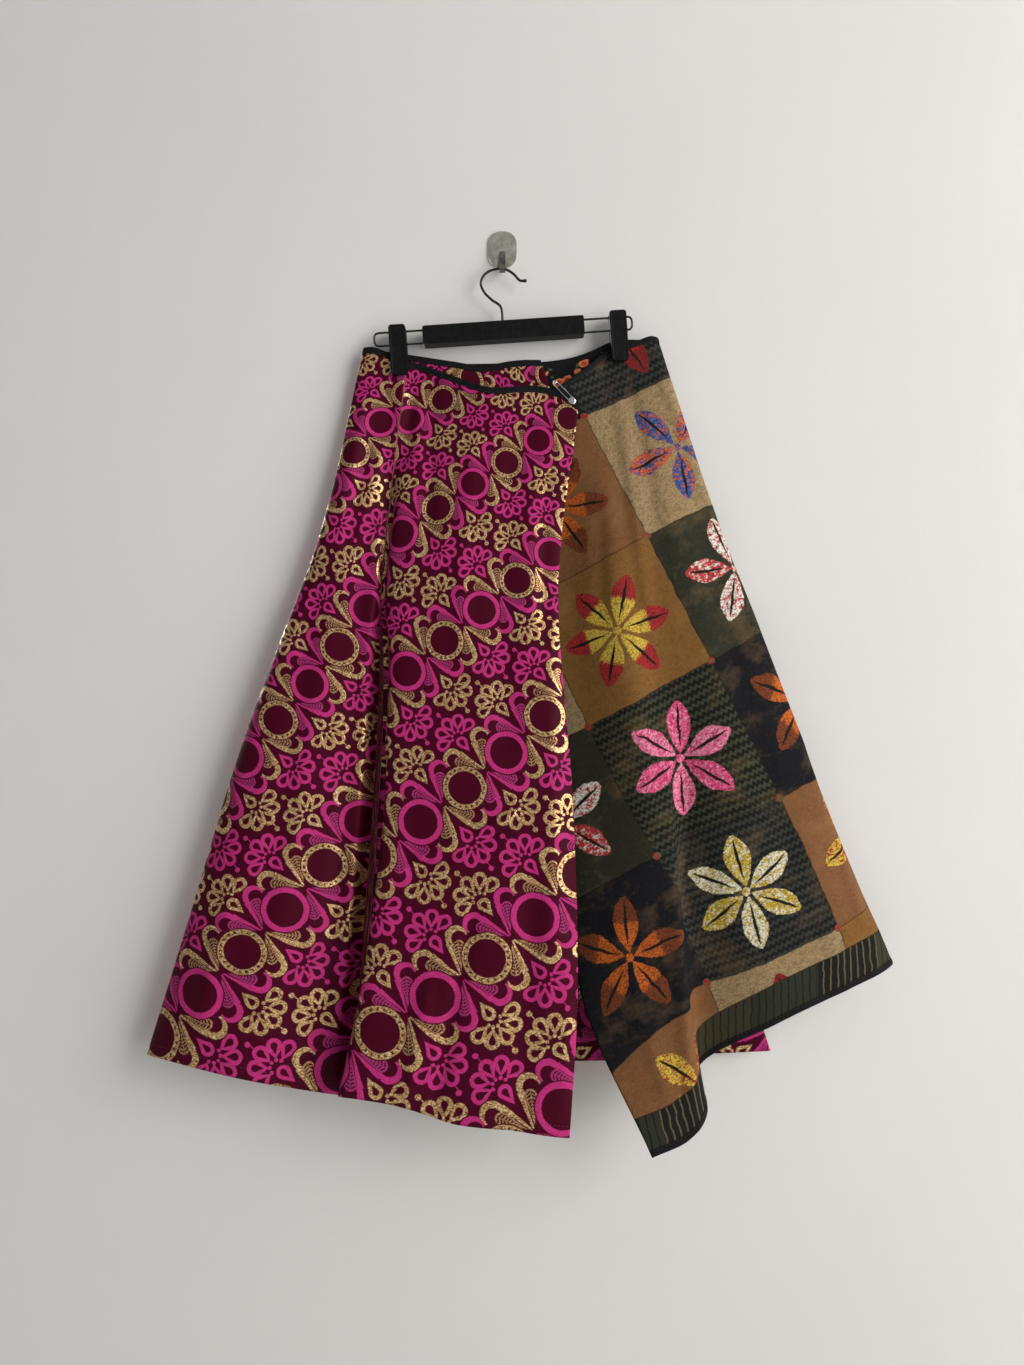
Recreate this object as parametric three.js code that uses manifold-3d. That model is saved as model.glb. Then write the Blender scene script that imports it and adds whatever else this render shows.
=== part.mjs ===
// Reversible wrap apron skirt on a clip hanger, hung from a small wall hook.
// Two flared aprons, one of brocade and one of printed patchwork, are wrapped into
// each other and held at the waist by two clips and a safety pin.
// Millimetres, +Z up, +X to the right of someone facing the wall, +Y into the wall.
// The origin is the centre of the hook plate's back face, on the wall, so every
// piece lies at y = -out, where "out" is its distance in front of the wall.
import * as THREE from "three";
import { mergeVertices } from "three/addons/utils/BufferGeometryUtils.js";
import Module from "manifold-3d";

const wasm = await Module();
wasm.setup();

// ---------------------------------------------------------------- cloth sizes
const BROCADE_THICK = 1.4;
const PATCHWORK_THICK = 1.6;
const LINING_THICK = 1.0;
const SEAM_GAP = 0.3;             // between pieces that are sewn together
const HEM_TAPE_GAP = 0.9;         // along the fold lines, which cross the hem at a slant
const WAIST_BINDING_WIDE = 7;
const HEM_BINDING_WIDE = 7.5;
const BINDING_THICK = 2.6;        // a folded tape round one layer of cloth
const LINED_BINDING_THICK = 3.6;  // the same tape round patchwork and lining
const CLIPPED_DROP = 30;          // below the waist edge the cloth is pinched straight

// A fold line runs down the cloth from waist to hem. Its row gives the line's
// sideways place x and its distance out at five stations, and its height at both
// ends. The rows follow each other round the body, and the cloth is a smooth
// surface through all of them.
const STATIONS = [0, 0.26, 0.56, 0.81, 1]; // waist, hip, thigh, knee and hem, as parts of the drop
const FOLD_COLUMNS = [
  "name", "waistZ", "hemZ",
  "waistX", "hipX", "thighX", "kneeX", "hemX",
  "waistOut", "hipOut", "thighOut", "kneeOut", "hemOut",
];

// The brocade apron, from its free front edge round the left side to its free back edge.
const BROCADE_FOLDS = [
  ["free edge", -195, -1025, 90, 65, 81, 85, 76, 36, 55, 76, 90, 93],
  ["edge fall", -181, -1021, 70, 48, 58, 60, 50, 36, 58, 80, 94, 97],
  ["front flat", -173, -1015, 38, 18, 22, 21, 12, 35, 60, 82, 95, 98],
  ["waist dip", -174, -1009, -14, -38, -41, -46, -51, 33, 57, 79, 92, 95],
  ["roll", -157, -991, -61, -82, -92, -100, -113, 25, 52, 73, 86, 91],
  ["ridge", -143, -982, -97, -119, -131, -152, -185, 19.2, 44, 65, 78, 84],
  ["valley", -139, -999, -111, -136, -147, -163, -176, 18.6, 26, 33, 38, 44],
  ["bulge", -131, -970, -130, -174, -226, -261, -291, 18.6, 36, 54, 64, 68],
  ["near side", -123, -951, -152, -206, -284, -340, -384, 19.2, 31, 45, 54, 58],
  ["side", -123, -951, -163, -212, -302, -364, -412, 16, 22, 30, 35, 38],
  ["turn", -124, -954, -154, -202, -290, -350, -394, 13.2, 14.5, 17, 20, 22],
  ["back side", -129, -966, -118, -150, -215, -270, -310, 13.4, 14, 13.5, 14, 16],
  ["back left", -138, -974, -58, -72, -90, -106, -120, 13, 13, 14.5, 16.5, 18],
  ["back dip", -143, -970, -22, 0, 12, 18, 20, 12.4, 12, 11, 11, 12],
  ["back swell", -138, -964, 6, 55, 105, 128, 150, 12.4, 13, 16.5, 18.5, 21],
  ["back right", -136, -960, 26, 92, 160, 205, 240, 12.4, 13, 14, 12.5, 14],
  ["back edge", -136, -955, 46, 117, 198, 267, 318, 12.4, 12.8, 12.5, 13.5, 17],
];
const BROCADE_SIDE_SEAM = 9.5;   // halfway between the rows "side" and "turn"

// The patchwork apron, from its free front edge round the right side to its hidden back edge.
const PATCHWORK_FOLDS = [
  ["free edge", -181, -1038, 57, 59, 70, 91, 165, 30, 32, 44, 72, 113],
  ["lip", -171, -1021, 68, 80, 102, 137, 207, 29, 36, 54, 86, 106],
  ["ridge", -149, -996, 98, 125, 162, 199, 229, 25, 56, 74, 90, 92],
  ["valley", -129, -961, 122, 152, 194, 217, 224, 18.6, 52, 60, 62, 58],
  ["right front", -121, -906, 142, 192, 255, 284, 310, 18.6, 50, 64, 70, 71],
  ["right bulge", -114, -868, 163, 225, 302, 358, 398, 18.8, 40, 54, 60, 61],
  ["near side", -110, -852, 176, 239, 318, 385, 438, 19.6, 31, 44, 52, 52],
  ["side", -111, -845, 184, 244, 325, 397, 454, 15.5, 22, 30, 36, 38],
  ["turn", -112, -850, 175, 232, 309, 376, 428, 11.8, 12.5, 17, 22, 23],
  ["back side", -114, -868, 134, 180, 250, 310, 350, 13.4, 9.5, 9, 10, 13],
  ["back hollow", -125, -890, 106, 140, 195, 240, 272, 9.8, 8, 7, 6, 5],
  ["back swell", -132, -915, 84, 98, 120, 140, 155, 8, 8.5, 12, 14, 16],
  ["back middle", -137, -930, 50, 40, 30, 25, 22, 7.6, 7, 6, 6, 6],
  ["back roll", -139, -932, -5, -35, -62, -85, -100, 7.6, 8, 10, 12, 13],
  ["back edge", -140, -925, -60, -100, -140, -175, -200, 7.6, 7, 7, 7, 8],
];
const PATCHWORK_SIDE_SEAM = 7.5; // halfway between the rows "side" and "turn"

// Mesh steps across each gap between two fold lines, and down the drop. Pieces that
// meet at a side seam have the same steps down it.
const FRONT_STEPS = { perFold: 3, down: 16 };
const BACK_STEPS = { perFold: 2, down: 16 };
const BINDING_STEPS_DOWN = 1;
const SLOPE_STEP = 0.002;        // spacing, in rows or drops, of points that give a slope

// --------------------------------------------------------------- hanger sizes
const HANGER_TILT = THREE.MathUtils.degToRad(3.8); // right end up
const BAR = { x: 1.9, z: -103.4, long: 191, tall: 22, back: 6.5, front: 23.5, round: 2.5 };
const ROD = { thick: 2.5, apart: 15.3, out: 16.6, leftReach: 153.2, rightReach: 152.4 };
const CLIPS = [
  { side: "left", x: -122, z: -127.3 },
  { side: "right", x: 138, z: -110.5 },
];
const CLIP = { wide: 20, tall: 59, round: 3.5, hubFrom: 5 };
const FRONT_JAW = { hub: 18.3, grip: 20.5, face: 26 };  // distances out
const BACK_JAW = { hub: 15, grip: 11.5, face: 8 };
const HOOK = { wire: 3.1, out: 14, tipBall: 4.2 };
const HOOK_ROUTE = [             // x and z, from the bar up, round the eye and to the tip
  [0.9, -91.9], [-1.7, -73], [-12, -65], [-21, -56], [-25, -46], [-22, -37],
  [-15, -31], [-3, -28], [5, -29], [14, -34.5], [21.5, -42], [28.6, -42.4],
];

// ------------------------------------------------------------ wall hook sizes
const PLATE = { x: 0.5, wide: 34, tall: 43.5, thick: 1.5, corner: 15 };
const STRIP = { x: 0.5, wide: 7, thick: 1.6, steps: 20 };
const STRIP_ROUTE = [            // distance out and z, from the plate down and up again
  [2.7, -6], [2.7, -15], [4.5, -23], [9, -29.6], [14, -31.7], [18.6, -29.4], [21.2, -23], [22, -11],
];

// ------------------------------------------------------------ safety pin sizes
const PIN = { x: 72.5, z: -181.4, out: 39.2, fallsBy: 46, long: 37, wire: 1.3, spread: 5, coil: 2.3 };
const PIN_CAP = { long: 9, wide: 8, thick: 2.6 };

const stuffs = {
  brocade: new THREE.MeshStandardMaterial({ color: 0x8c2a5e, roughness: 0.7, metalness: 0.05 }),
  patchwork: new THREE.MeshStandardMaterial({ color: 0x5e5138, roughness: 0.9, metalness: 0 }),
  lining: new THREE.MeshStandardMaterial({ color: 0x1a1618, roughness: 0.85, metalness: 0 }),
  binding: new THREE.MeshStandardMaterial({ color: 0x16171c, roughness: 0.8, metalness: 0 }),
  blackPlastic: new THREE.MeshStandardMaterial({ color: 0x151516, roughness: 0.6, metalness: 0 }),
  blackWire: new THREE.MeshStandardMaterial({ color: 0x1c1c1e, roughness: 0.35, metalness: 0.8 }),
  brushedSteel: new THREE.MeshStandardMaterial({ color: 0xa9a6a1, roughness: 0.4, metalness: 1 }),
  darkSteel: new THREE.MeshStandardMaterial({ color: 0x5b5a58, roughness: 0.4, metalness: 1 }),
  brightSteel: new THREE.MeshStandardMaterial({ color: 0xc8c8c8, roughness: 0.2, metalness: 1 }),
};

const skirt = new THREE.Group();

function addPiece(name, geometry, stuff, parent = skirt) {
  const piece = new THREE.Mesh(geometry, stuff);
  piece.name = name;
  parent.add(piece);
}

// ------------------------------------------------------------------ the cloth

// The fold lines of one apron, each a smooth curve from waist to hem.
function foldLines(rows) {
  return rows.map((cells) => {
    const row = Object.fromEntries(FOLD_COLUMNS.map((column, i) => [column, cells[i]]));
    const drop = row.waistZ - row.hemZ;
    const points = ["waist", "hip", "thigh", "knee", "hem"].map((station, i) => new THREE.Vector3(
      row[`${station}X`],
      -row[`${station}Out`],
      row.waistZ - drop * STATIONS[i],
    ));
    const clipped = points[0].clone().lerp(points[1], CLIPPED_DROP / (drop * STATIONS[1]));
    clipped.y = points[0].y;
    points.splice(1, 0, clipped);
    return new THREE.CatmullRomCurve3(points, false, "centripetal");
  });
}

// A surface over the fold lines: surface(u, v) has u in rows, and v runs from 0 to 1
// along the stretch of each line that stretch(length) gives, from its waist end.
function clothSurface(lines, stretch) {
  return (u, v) => {
    const across = lines.map((line) => {
      const length = line.getLength();
      const [start, end] = stretch(length);
      return line.getPointAt(THREE.MathUtils.lerp(start, end, v) / length);
    });
    return new THREE.CatmullRomCurve3(across, false, "centripetal").getPoint(u / (lines.length - 1));
  };
}

// The unit normal of a surface: outwards on the brocade apron, inwards on the patchwork.
function clothNormal(surface, u, v, lastRow) {
  const slopeU = surface(Math.min(u + SLOPE_STEP, lastRow), v)
    .sub(surface(Math.max(u - SLOPE_STEP, 0), v));
  const slopeV = surface(u, Math.min(v + SLOPE_STEP, 1))
    .sub(surface(u, Math.max(v - SLOPE_STEP, 0)));
  return slopeU.cross(slopeV).normalize();
}

// The place, in rows, that lies a distance along the cloth from row u.
function placeBeside(surface, u, v, distance) {
  const perRow = surface(u + SLOPE_STEP, v).distanceTo(surface(u - SLOPE_STEP, v)) / (2 * SLOPE_STEP);
  return u + distance / perRow;
}

// The places of a mesh's columns: both ends, and even parts of each fold between them.
function rowsBetween(from, to, perFold) {
  const inner = [];
  for (let part = Math.floor(from * perFold) + 1; part < to * perFold; part += 1) inner.push(part / perFold);
  return [from, ...inner, to];
}

// A closed wall over a grid of points: two faces and the four rims between them.
function closedWall(countU, countV, facePoint) {
  const positions = [];
  for (const side of [1, -1]) {
    for (let i = 0; i <= countU; i += 1) {
      for (let j = 0; j <= countV; j += 1) positions.push(...facePoint(i, j, side).toArray());
    }
  }
  const top = (i, j) => i * (countV + 1) + j;
  const under = (i, j) => (countU + 1) * (countV + 1) + top(i, j);
  const indices = [];
  const quad = (a, b, c, d) => indices.push(a, b, c, a, c, d);
  for (let i = 0; i < countU; i += 1) {
    for (let j = 0; j < countV; j += 1) {
      quad(top(i, j), top(i + 1, j), top(i + 1, j + 1), top(i, j + 1));
      quad(under(i, j), under(i, j + 1), under(i + 1, j + 1), under(i + 1, j));
    }
    quad(top(i + 1, 0), top(i, 0), under(i, 0), under(i + 1, 0));
    quad(top(i, countV), top(i + 1, countV), under(i + 1, countV), under(i, countV));
  }
  for (let j = 0; j < countV; j += 1) {
    quad(top(0, j), top(0, j + 1), under(0, j + 1), under(0, j));
    quad(top(countU, j + 1), top(countU, j), under(countU, j), under(countU, j + 1));
  }
  const geometry = new THREE.BufferGeometry();
  geometry.setAttribute("position", new THREE.Float32BufferAttribute(positions, 3));
  geometry.setIndex(indices);
  return geometry;
}

// One sewn piece: the part of an apron between two rows and along the stretch given.
// seamFrom and seamTo say which of its sides meets another piece, and raised moves
// the wall's middle off the apron's own surface, along its normal.
function clothPiece(lines, piece) {
  const { from, to, seamFrom, seamTo, stretch, thick, raised = 0, steps, stepsDown = steps.down } = piece;
  const surface = clothSurface(lines, stretch);
  const lastRow = lines.length - 1;
  const columns = rowsBetween(from, to, steps.perFold).map((row) => {
    const column = [];
    for (let j = 0; j <= stepsDown; j += 1) {
      const v = j / stepsDown;
      let u = row;
      if (row === from && seamFrom) u = placeBeside(surface, row, v, SEAM_GAP / 2);
      if (row === to && seamTo) u = placeBeside(surface, row, v, -SEAM_GAP / 2);
      column.push({ middle: surface(u, v), normal: clothNormal(surface, u, v, lastRow) });
    }
    return column;
  });
  return closedWall(columns.length - 1, stepsDown, (i, j, side) => {
    const { middle, normal } = columns[i][j];
    return middle.clone().addScaledVector(normal, raised + side * thick / 2);
  });
}

const alongWaist = () => [0, WAIST_BINDING_WIDE];
const alongHem = (length) => [length - HEM_BINDING_WIDE, length];
const belowWaistBinding = (length) => [WAIST_BINDING_WIDE + SEAM_GAP, length];
const betweenBindings = (length) => [WAIST_BINDING_WIDE + SEAM_GAP, length - HEM_BINDING_WIDE - HEM_TAPE_GAP];

function addBrocadeApron() {
  const lines = foldLines(BROCADE_FOLDS);
  const front = { from: 0, to: BROCADE_SIDE_SEAM, seamTo: true, steps: FRONT_STEPS };
  const back = { from: BROCADE_SIDE_SEAM, to: lines.length - 1, seamFrom: true, steps: BACK_STEPS };
  for (const [side, piece] of [["front", front], ["back", back]]) {
    const cloth = { ...piece, stretch: belowWaistBinding, thick: BROCADE_THICK };
    addPiece(`brocade_${side}`, clothPiece(lines, cloth), stuffs.brocade);
    const tape = { ...piece, stretch: alongWaist, thick: BINDING_THICK, stepsDown: BINDING_STEPS_DOWN };
    addPiece(`brocade_${side}_binding`, clothPiece(lines, tape), stuffs.binding);
  }
}

function addPatchworkApron() {
  const lines = foldLines(PATCHWORK_FOLDS);
  const front = { from: 0, to: PATCHWORK_SIDE_SEAM, seamTo: true, steps: FRONT_STEPS };
  const back = { from: PATCHWORK_SIDE_SEAM, to: lines.length - 1, seamFrom: true, steps: BACK_STEPS };
  const frontTape = { ...front, thick: BINDING_THICK, stepsDown: BINDING_STEPS_DOWN };
  const backTape = {
    ...back,
    thick: LINED_BINDING_THICK,
    raised: (SEAM_GAP + LINING_THICK) / 2,
    stepsDown: BINDING_STEPS_DOWN,
  };
  const lining = {
    ...back,
    stretch: betweenBindings,
    thick: LINING_THICK,
    raised: PATCHWORK_THICK / 2 + SEAM_GAP + LINING_THICK / 2,
  };
  addPiece("patchwork_back_lining", clothPiece(lines, lining), stuffs.lining);
  for (const [side, piece, tape] of [["front", front, frontTape], ["back", back, backTape]]) {
    const cloth = { ...piece, stretch: betweenBindings, thick: PATCHWORK_THICK };
    addPiece(`patchwork_${side}`, clothPiece(lines, cloth), stuffs.patchwork);
    for (const [edge, stretch] of [["waist", alongWaist], ["hem", alongHem]]) {
      addPiece(`patchwork_${side}_${edge}_binding`, clothPiece(lines, { ...tape, stretch }), stuffs.binding);
    }
  }
}

// ------------------------------------------------------------ shapes in metal

// Several solids as one.
function joined(geometries) {
  const solids = geometries.map((geometry) => {
    const bare = geometry.clone();
    bare.deleteAttribute("normal");
    bare.deleteAttribute("uv");
    const merged = mergeVertices(bare, 1e-4);
    return new wasm.Manifold(new wasm.Mesh({
      numProp: 3,
      vertProperties: new Float32Array(merged.attributes.position.array),
      triVerts: new Uint32Array(merged.index.array),
    }));
  });
  const whole = solids.reduce((sum, solid) => sum.add(solid)).getMesh();
  const geometry = new THREE.BufferGeometry();
  geometry.setAttribute("position", new THREE.Float32BufferAttribute(whole.vertProperties, 3));
  geometry.setIndex(Array.from(whole.triVerts));
  return geometry;
}

// A round wire along a curve.
function wireAlong(curve, thick, steps, sides = 6) {
  const section = new THREE.Shape(new THREE.EllipseCurve(0, 0, thick / 2, thick / 2).getPoints(sides).slice(0, -1));
  return new THREE.ExtrudeGeometry(section, { steps, extrudePath: curve, bevelEnabled: false });
}

// An upright slab in front of the wall with round corners, between two distances out.
function uprightSlab(wide, tall, round, back, front, curveSegments = 2) {
  const outline = new THREE.Shape();
  const [x, z] = [wide / 2, tall / 2];
  outline.moveTo(-x + round, -z).lineTo(x - round, -z);
  outline.absarc(x - round, -z + round, round, -Math.PI / 2, 0);
  outline.absarc(x - round, z - round, round, 0, Math.PI / 2);
  outline.absarc(-x + round, z - round, round, Math.PI / 2, Math.PI);
  outline.absarc(-x + round, -z + round, round, Math.PI, 1.5 * Math.PI);
  const slab = new THREE.ExtrudeGeometry(outline, { depth: front - back, bevelEnabled: false, curveSegments });
  return slab.rotateX(Math.PI / 2).translate(0, -back, 0);
}

function addWallHook() {
  const plate = uprightSlab(PLATE.wide, PLATE.tall, PLATE.corner, 0, PLATE.thick, 4);
  addPiece("wall_plate", plate.translate(PLATE.x, 0, 0), stuffs.brushedSteel);
  const route = new THREE.SplineCurve(STRIP_ROUTE.map(([out, z]) => new THREE.Vector2(out, z)));
  const side = (sign) => {
    const points = [];
    for (let i = 0; i <= STRIP.steps; i += 1) {
      const along = route.getTangent(i / STRIP.steps);
      const across = new THREE.Vector2(-along.y, along.x).multiplyScalar(sign * STRIP.thick / 2);
      points.push(route.getPoint(i / STRIP.steps).add(across));
    }
    return points;
  };
  const profile = new THREE.Shape([...side(-1), ...side(1).reverse()]);
  const strip = new THREE.ExtrudeGeometry(profile, { depth: STRIP.wide, bevelEnabled: false });
  // the profile's (out, z) plane turned so that out is -Y, z is up and the depth is X
  const turned = new THREE.Matrix4().makeBasis(
    new THREE.Vector3(0, -1, 0),
    new THREE.Vector3(0, 0, 1),
    new THREE.Vector3(-1, 0, 0),
  );
  strip.applyMatrix4(turned).translate(STRIP.x + STRIP.wide / 2, 0, 0);
  addPiece("wall_hook_strip", strip, stuffs.darkSteel);
}

function addHanger() {
  const route = HOOK_ROUTE.map(([x, z]) => new THREE.Vector3(x, -HOOK.out, z));
  const wire = wireAlong(new THREE.CatmullRomCurve3(route, false, "centripetal"), HOOK.wire, 44);
  const tip = new THREE.SphereGeometry(HOOK.tipBall / 2, 8, 6).translate(...route.at(-1).toArray());
  addPiece("hanger_hook", joined([wire, tip]), stuffs.blackWire);

  const tilted = new THREE.Group();
  tilted.position.set(BAR.x, 0, BAR.z);
  tilted.rotation.y = -HANGER_TILT;
  skirt.add(tilted);
  const bar = uprightSlab(BAR.long, BAR.tall, BAR.round, BAR.back, BAR.front);
  addPiece("hanger_bar", bar, stuffs.blackPlastic, tilted);
  const half = ROD.apart / 2;
  const start = BAR.long / 2 + SEAM_GAP;
  for (const [side, sign, reach] of [["left", -1, ROD.leftReach], ["right", 1, ROD.rightReach]]) {
    const bend = reach - half;
    const at = (x, z) => new THREE.Vector3(sign * x, -ROD.out, z);
    const loop = new THREE.CurvePath();
    loop.add(new THREE.LineCurve3(at(start, half), at(bend, half)));
    const round = [0, 30, 60, 90, 120, 150, 180].map((degrees) => {
      const angle = THREE.MathUtils.degToRad(degrees);
      return at(bend + half * Math.sin(angle), half * Math.cos(angle));
    });
    loop.add(new THREE.CatmullRomCurve3(round));
    loop.add(new THREE.LineCurve3(at(bend, -half), at(start, -half)));
    addPiece(`rod_loop_${side}`, wireAlong(loop, ROD.thick, 30), stuffs.blackWire, tilted);
  }
}

// Each clip is two jaws, which meet the rods at their hubs and the cloth below them.
function addClips() {
  const hubTall = CLIP.tall / 2 - CLIP.hubFrom;
  const hubMiddle = (CLIP.tall / 2 + CLIP.hubFrom) / 2;
  for (const { side, x, z } of CLIPS) {
    const tilted = new THREE.Group();
    tilted.position.set(x, 0, z);
    tilted.rotation.y = -HANGER_TILT;
    skirt.add(tilted);
    for (const [name, jaw] of [["front", FRONT_JAW], ["back", BACK_JAW]]) {
      const inOrder = (a, b) => [Math.min(a, b), Math.max(a, b)];
      const plate = uprightSlab(CLIP.wide, CLIP.tall, CLIP.round, ...inOrder(jaw.grip, jaw.face));
      const hub = uprightSlab(CLIP.wide, hubTall, CLIP.round, ...inOrder(jaw.hub, (jaw.grip + jaw.face) / 2));
      const geometry = joined([plate, hub.translate(0, 0, hubMiddle)]);
      addPiece(`clip_${side}_${name}`, geometry, stuffs.blackPlastic, tilted);
    }
  }
}

// A closed safety pin: a wire with two arms and a coil, whose ends sit in a cap.
function addPin() {
  const half = PIN.spread / 2;
  const capMiddle = PIN.long - PIN_CAP.long / 2;
  const arm = [
    [capMiddle, half], [20, half + 0.3], [8, half], [2.4, half - 0.4], [0.6, 0],
    [2.4, -half + 0.4], [8, -half], [20, -half - 0.3], [capMiddle, -half],
  ].map(([x, z]) => new THREE.Vector3(x, 0, z));
  const wire = wireAlong(new THREE.CatmullRomCurve3(arm, false, "centripetal"), PIN.wire, 22);
  const coil = new THREE.TorusGeometry(PIN.coil - PIN.wire / 2, PIN.wire / 2, 6, 10);
  coil.rotateX(Math.PI / 2).translate(PIN.coil, 0, 0);
  const cap = new THREE.SphereGeometry(1, 8, 6);
  cap.scale(PIN_CAP.long / 2, PIN_CAP.thick / 2, PIN_CAP.wide / 2).translate(capMiddle, 0, 0);
  const pin = joined([wire, coil, cap]).translate(-PIN.long / 2, 0, 0);
  const placed = new THREE.Group();
  placed.position.set(PIN.x, -PIN.out, PIN.z);
  placed.rotation.y = THREE.MathUtils.degToRad(PIN.fallsBy);
  skirt.add(placed);
  addPiece("closure_pin", pin, stuffs.brightSteel, placed);
}

addWallHook();
addHanger();
addClips();
addBrocadeApron();
addPatchworkApron();
addPin();

export default skirt;
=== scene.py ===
import math

import bpy
import numpy as np
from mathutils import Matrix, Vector


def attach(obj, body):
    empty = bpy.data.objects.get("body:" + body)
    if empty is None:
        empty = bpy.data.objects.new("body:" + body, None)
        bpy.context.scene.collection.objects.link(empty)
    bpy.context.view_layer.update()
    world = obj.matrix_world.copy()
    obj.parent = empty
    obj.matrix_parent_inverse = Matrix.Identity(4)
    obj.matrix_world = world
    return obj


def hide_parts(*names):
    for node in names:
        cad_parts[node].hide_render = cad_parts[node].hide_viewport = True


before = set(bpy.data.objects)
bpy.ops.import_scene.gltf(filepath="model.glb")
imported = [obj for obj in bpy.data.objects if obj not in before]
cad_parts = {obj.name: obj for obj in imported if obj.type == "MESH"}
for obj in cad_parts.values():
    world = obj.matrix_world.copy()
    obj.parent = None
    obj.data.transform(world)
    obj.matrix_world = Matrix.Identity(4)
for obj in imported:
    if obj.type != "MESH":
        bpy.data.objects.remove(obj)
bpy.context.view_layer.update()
MM = 0.001

# ---- The studio: camera, wall, floor and light -------------------------------------
# A plain off-white wall that the hook is stuck to, a pale floor below, and soft
# daylight from the right. The wall is clear from behind, and to the light that
# falls on the back of the skirt, so that the back can be looked at too.
CAMERA_PLACE = (0.012, -1.25, -0.519)
CAMERA_VIEW_TALL = 1.638      # metres of wall, from the top to the bottom of the view
SENSOR = 36.0
FLOOR_Z = -1.46
WALL_COLOUR, FLOOR_COLOUR = (0.68, 0.665, 0.64), (0.66, 0.65, 0.63)
WALL_Y, WALL_TOP, STUDIO_HALF, FLOOR_FRONT = 0.0006, 2.5, 4, -5
CLEAR_WITHIN = 0.06           # metres of the wall within which it lets light through

camera = bpy.data.objects.new("studio_camera", bpy.data.cameras.new("studio_camera"))
bpy.context.scene.collection.objects.link(camera)
camera.location = CAMERA_PLACE
camera.rotation_euler = (math.pi / 2, 0, 0)
camera.data.sensor_width = SENSOR
camera.data.lens = SENSOR * -CAMERA_PLACE[1] / CAMERA_VIEW_TALL
bpy.context.scene.camera = camera


class Field:
    """A number that changes over a surface: one socket of a shader node tree."""

    def __init__(self, tree, socket):
        self.tree, self.socket = tree, socket

    def math(self, operation, *terms, clamp=False):
        step = self.tree.nodes.new("ShaderNodeMath")
        step.operation, step.use_clamp = operation, clamp
        for place, term in enumerate((self, *terms)):
            fill(step.inputs[place], term)
        return Field(self.tree, step.outputs[0])

    def __add__(self, other):
        return self.math("ADD", other)

    def __sub__(self, other):
        return self.math("SUBTRACT", other)

    def __mul__(self, other):
        return self.math("MULTIPLY", other)

    def __truediv__(self, other):
        return self.math("DIVIDE", other)

    def __abs__(self):
        return self.math("ABSOLUTE")

    def floor(self):
        return self.math("FLOOR")

    def flipped(self):
        return self.math("MULTIPLY_ADD", -1.0, 1.0)

    def least(self, other):
        return self.math("MINIMUM", other)

    def most(self, other):
        return self.math("MAXIMUM", other)

    def apart(self, other):
        return (self * self + other * other).math("SQRT")

    def odd(self):
        return self.math("FLOORED_MODULO", 2.0)

    def inside(self, soft):
        """1 where a distance is below 0, 0 where it is above, over a soft edge this wide."""
        return self.math("MULTIPLY_ADD", -1.0 / soft, 0.5, clamp=True)


def fill(socket, value):
    """Put a field, the output of another node or a plain value into a socket."""
    if isinstance(value, Field):
        value = value.socket
    if isinstance(value, bpy.types.NodeSocket):
        socket.id_data.links.new(value, socket)
    else:
        socket.default_value = value


def add_node(tree, kind, sockets=(), **settings):
    """A new node with these settings, and these values or fields in its sockets."""
    made = tree.nodes.new("ShaderNode" + kind)
    for name, value in settings.items():
        setattr(made, name, value)
    for name, value in dict(sockets).items():
        fill(made.inputs[name], value)
    return made


def mixed(tree, share, under, over):
    """The colour over laid on the colour under, as far as share says."""
    blend = add_node(tree, "Mix", {0: share}, data_type="RGBA")
    for place, colour in ((6, under), (7, over)):
        fill(blend.inputs[place], (*colour, 1) if isinstance(colour, tuple) else colour)
    return blend.outputs[2]


def new_material(name, **sockets):
    """A material with one Principled shader whose sockets are set, and its node tree."""
    material = bpy.data.materials.new(name)
    material.use_nodes = True
    shader = material.node_tree.nodes["Principled BSDF"]
    for socket, value in sockets.items():
        shader.inputs[socket.replace("_", " ")].default_value = value
    return material, material.node_tree, shader


def place_of(tree):
    return tree.nodes.new("ShaderNodeTexCoord").outputs["Object"]


def noise(tree, where, scale, detail=3.0, rough=0.5, gives=0):
    """Soft clouds, as a field."""
    clouds = add_node(tree, "TexNoise",
                      {"Vector": where, "Scale": scale, "Detail": detail, "Roughness": rough})
    return Field(tree, clouds.outputs[gives])


def ramp(tree, value, *stops, step=False):
    """A colour for each value, from stops of (place, colour)."""
    band = add_node(tree, "ValToRGB", {0: value})
    band.color_ramp.interpolation = "CONSTANT" if step else "LINEAR"
    while len(band.color_ramp.elements) < len(stops):
        band.color_ramp.elements.new(0.5)
    for element, (place, colour) in zip(band.color_ramp.elements, stops):
        element.position = place
        element.color = (*colour, 1)
    return band.outputs[0]


def bump(tree, shader, height, strength=0.4, distance=0.0005):
    raised = add_node(tree, "Bump", {"Height": height, "Strength": strength, "Distance": distance})
    tree.links.new(raised.outputs[0], shader.inputs["Normal"])


def mesh_object(name, points, faces, materials, smooth=True):
    """A new object at the origin, from points in metres and faces of (corners, material place)."""
    mesh = bpy.data.meshes.new(name)
    mesh.from_pydata([tuple(p) for p in points], [], [corners for corners, _ in faces])
    mesh.polygons.foreach_set("use_smooth", [smooth] * len(faces))
    mesh.polygons.foreach_set("material_index", [place for _, place in faces])
    for material in materials:
        mesh.materials.append(material)
    thing = bpy.data.objects.new(name, mesh)
    bpy.context.scene.collection.objects.link(thing)
    return thing


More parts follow.
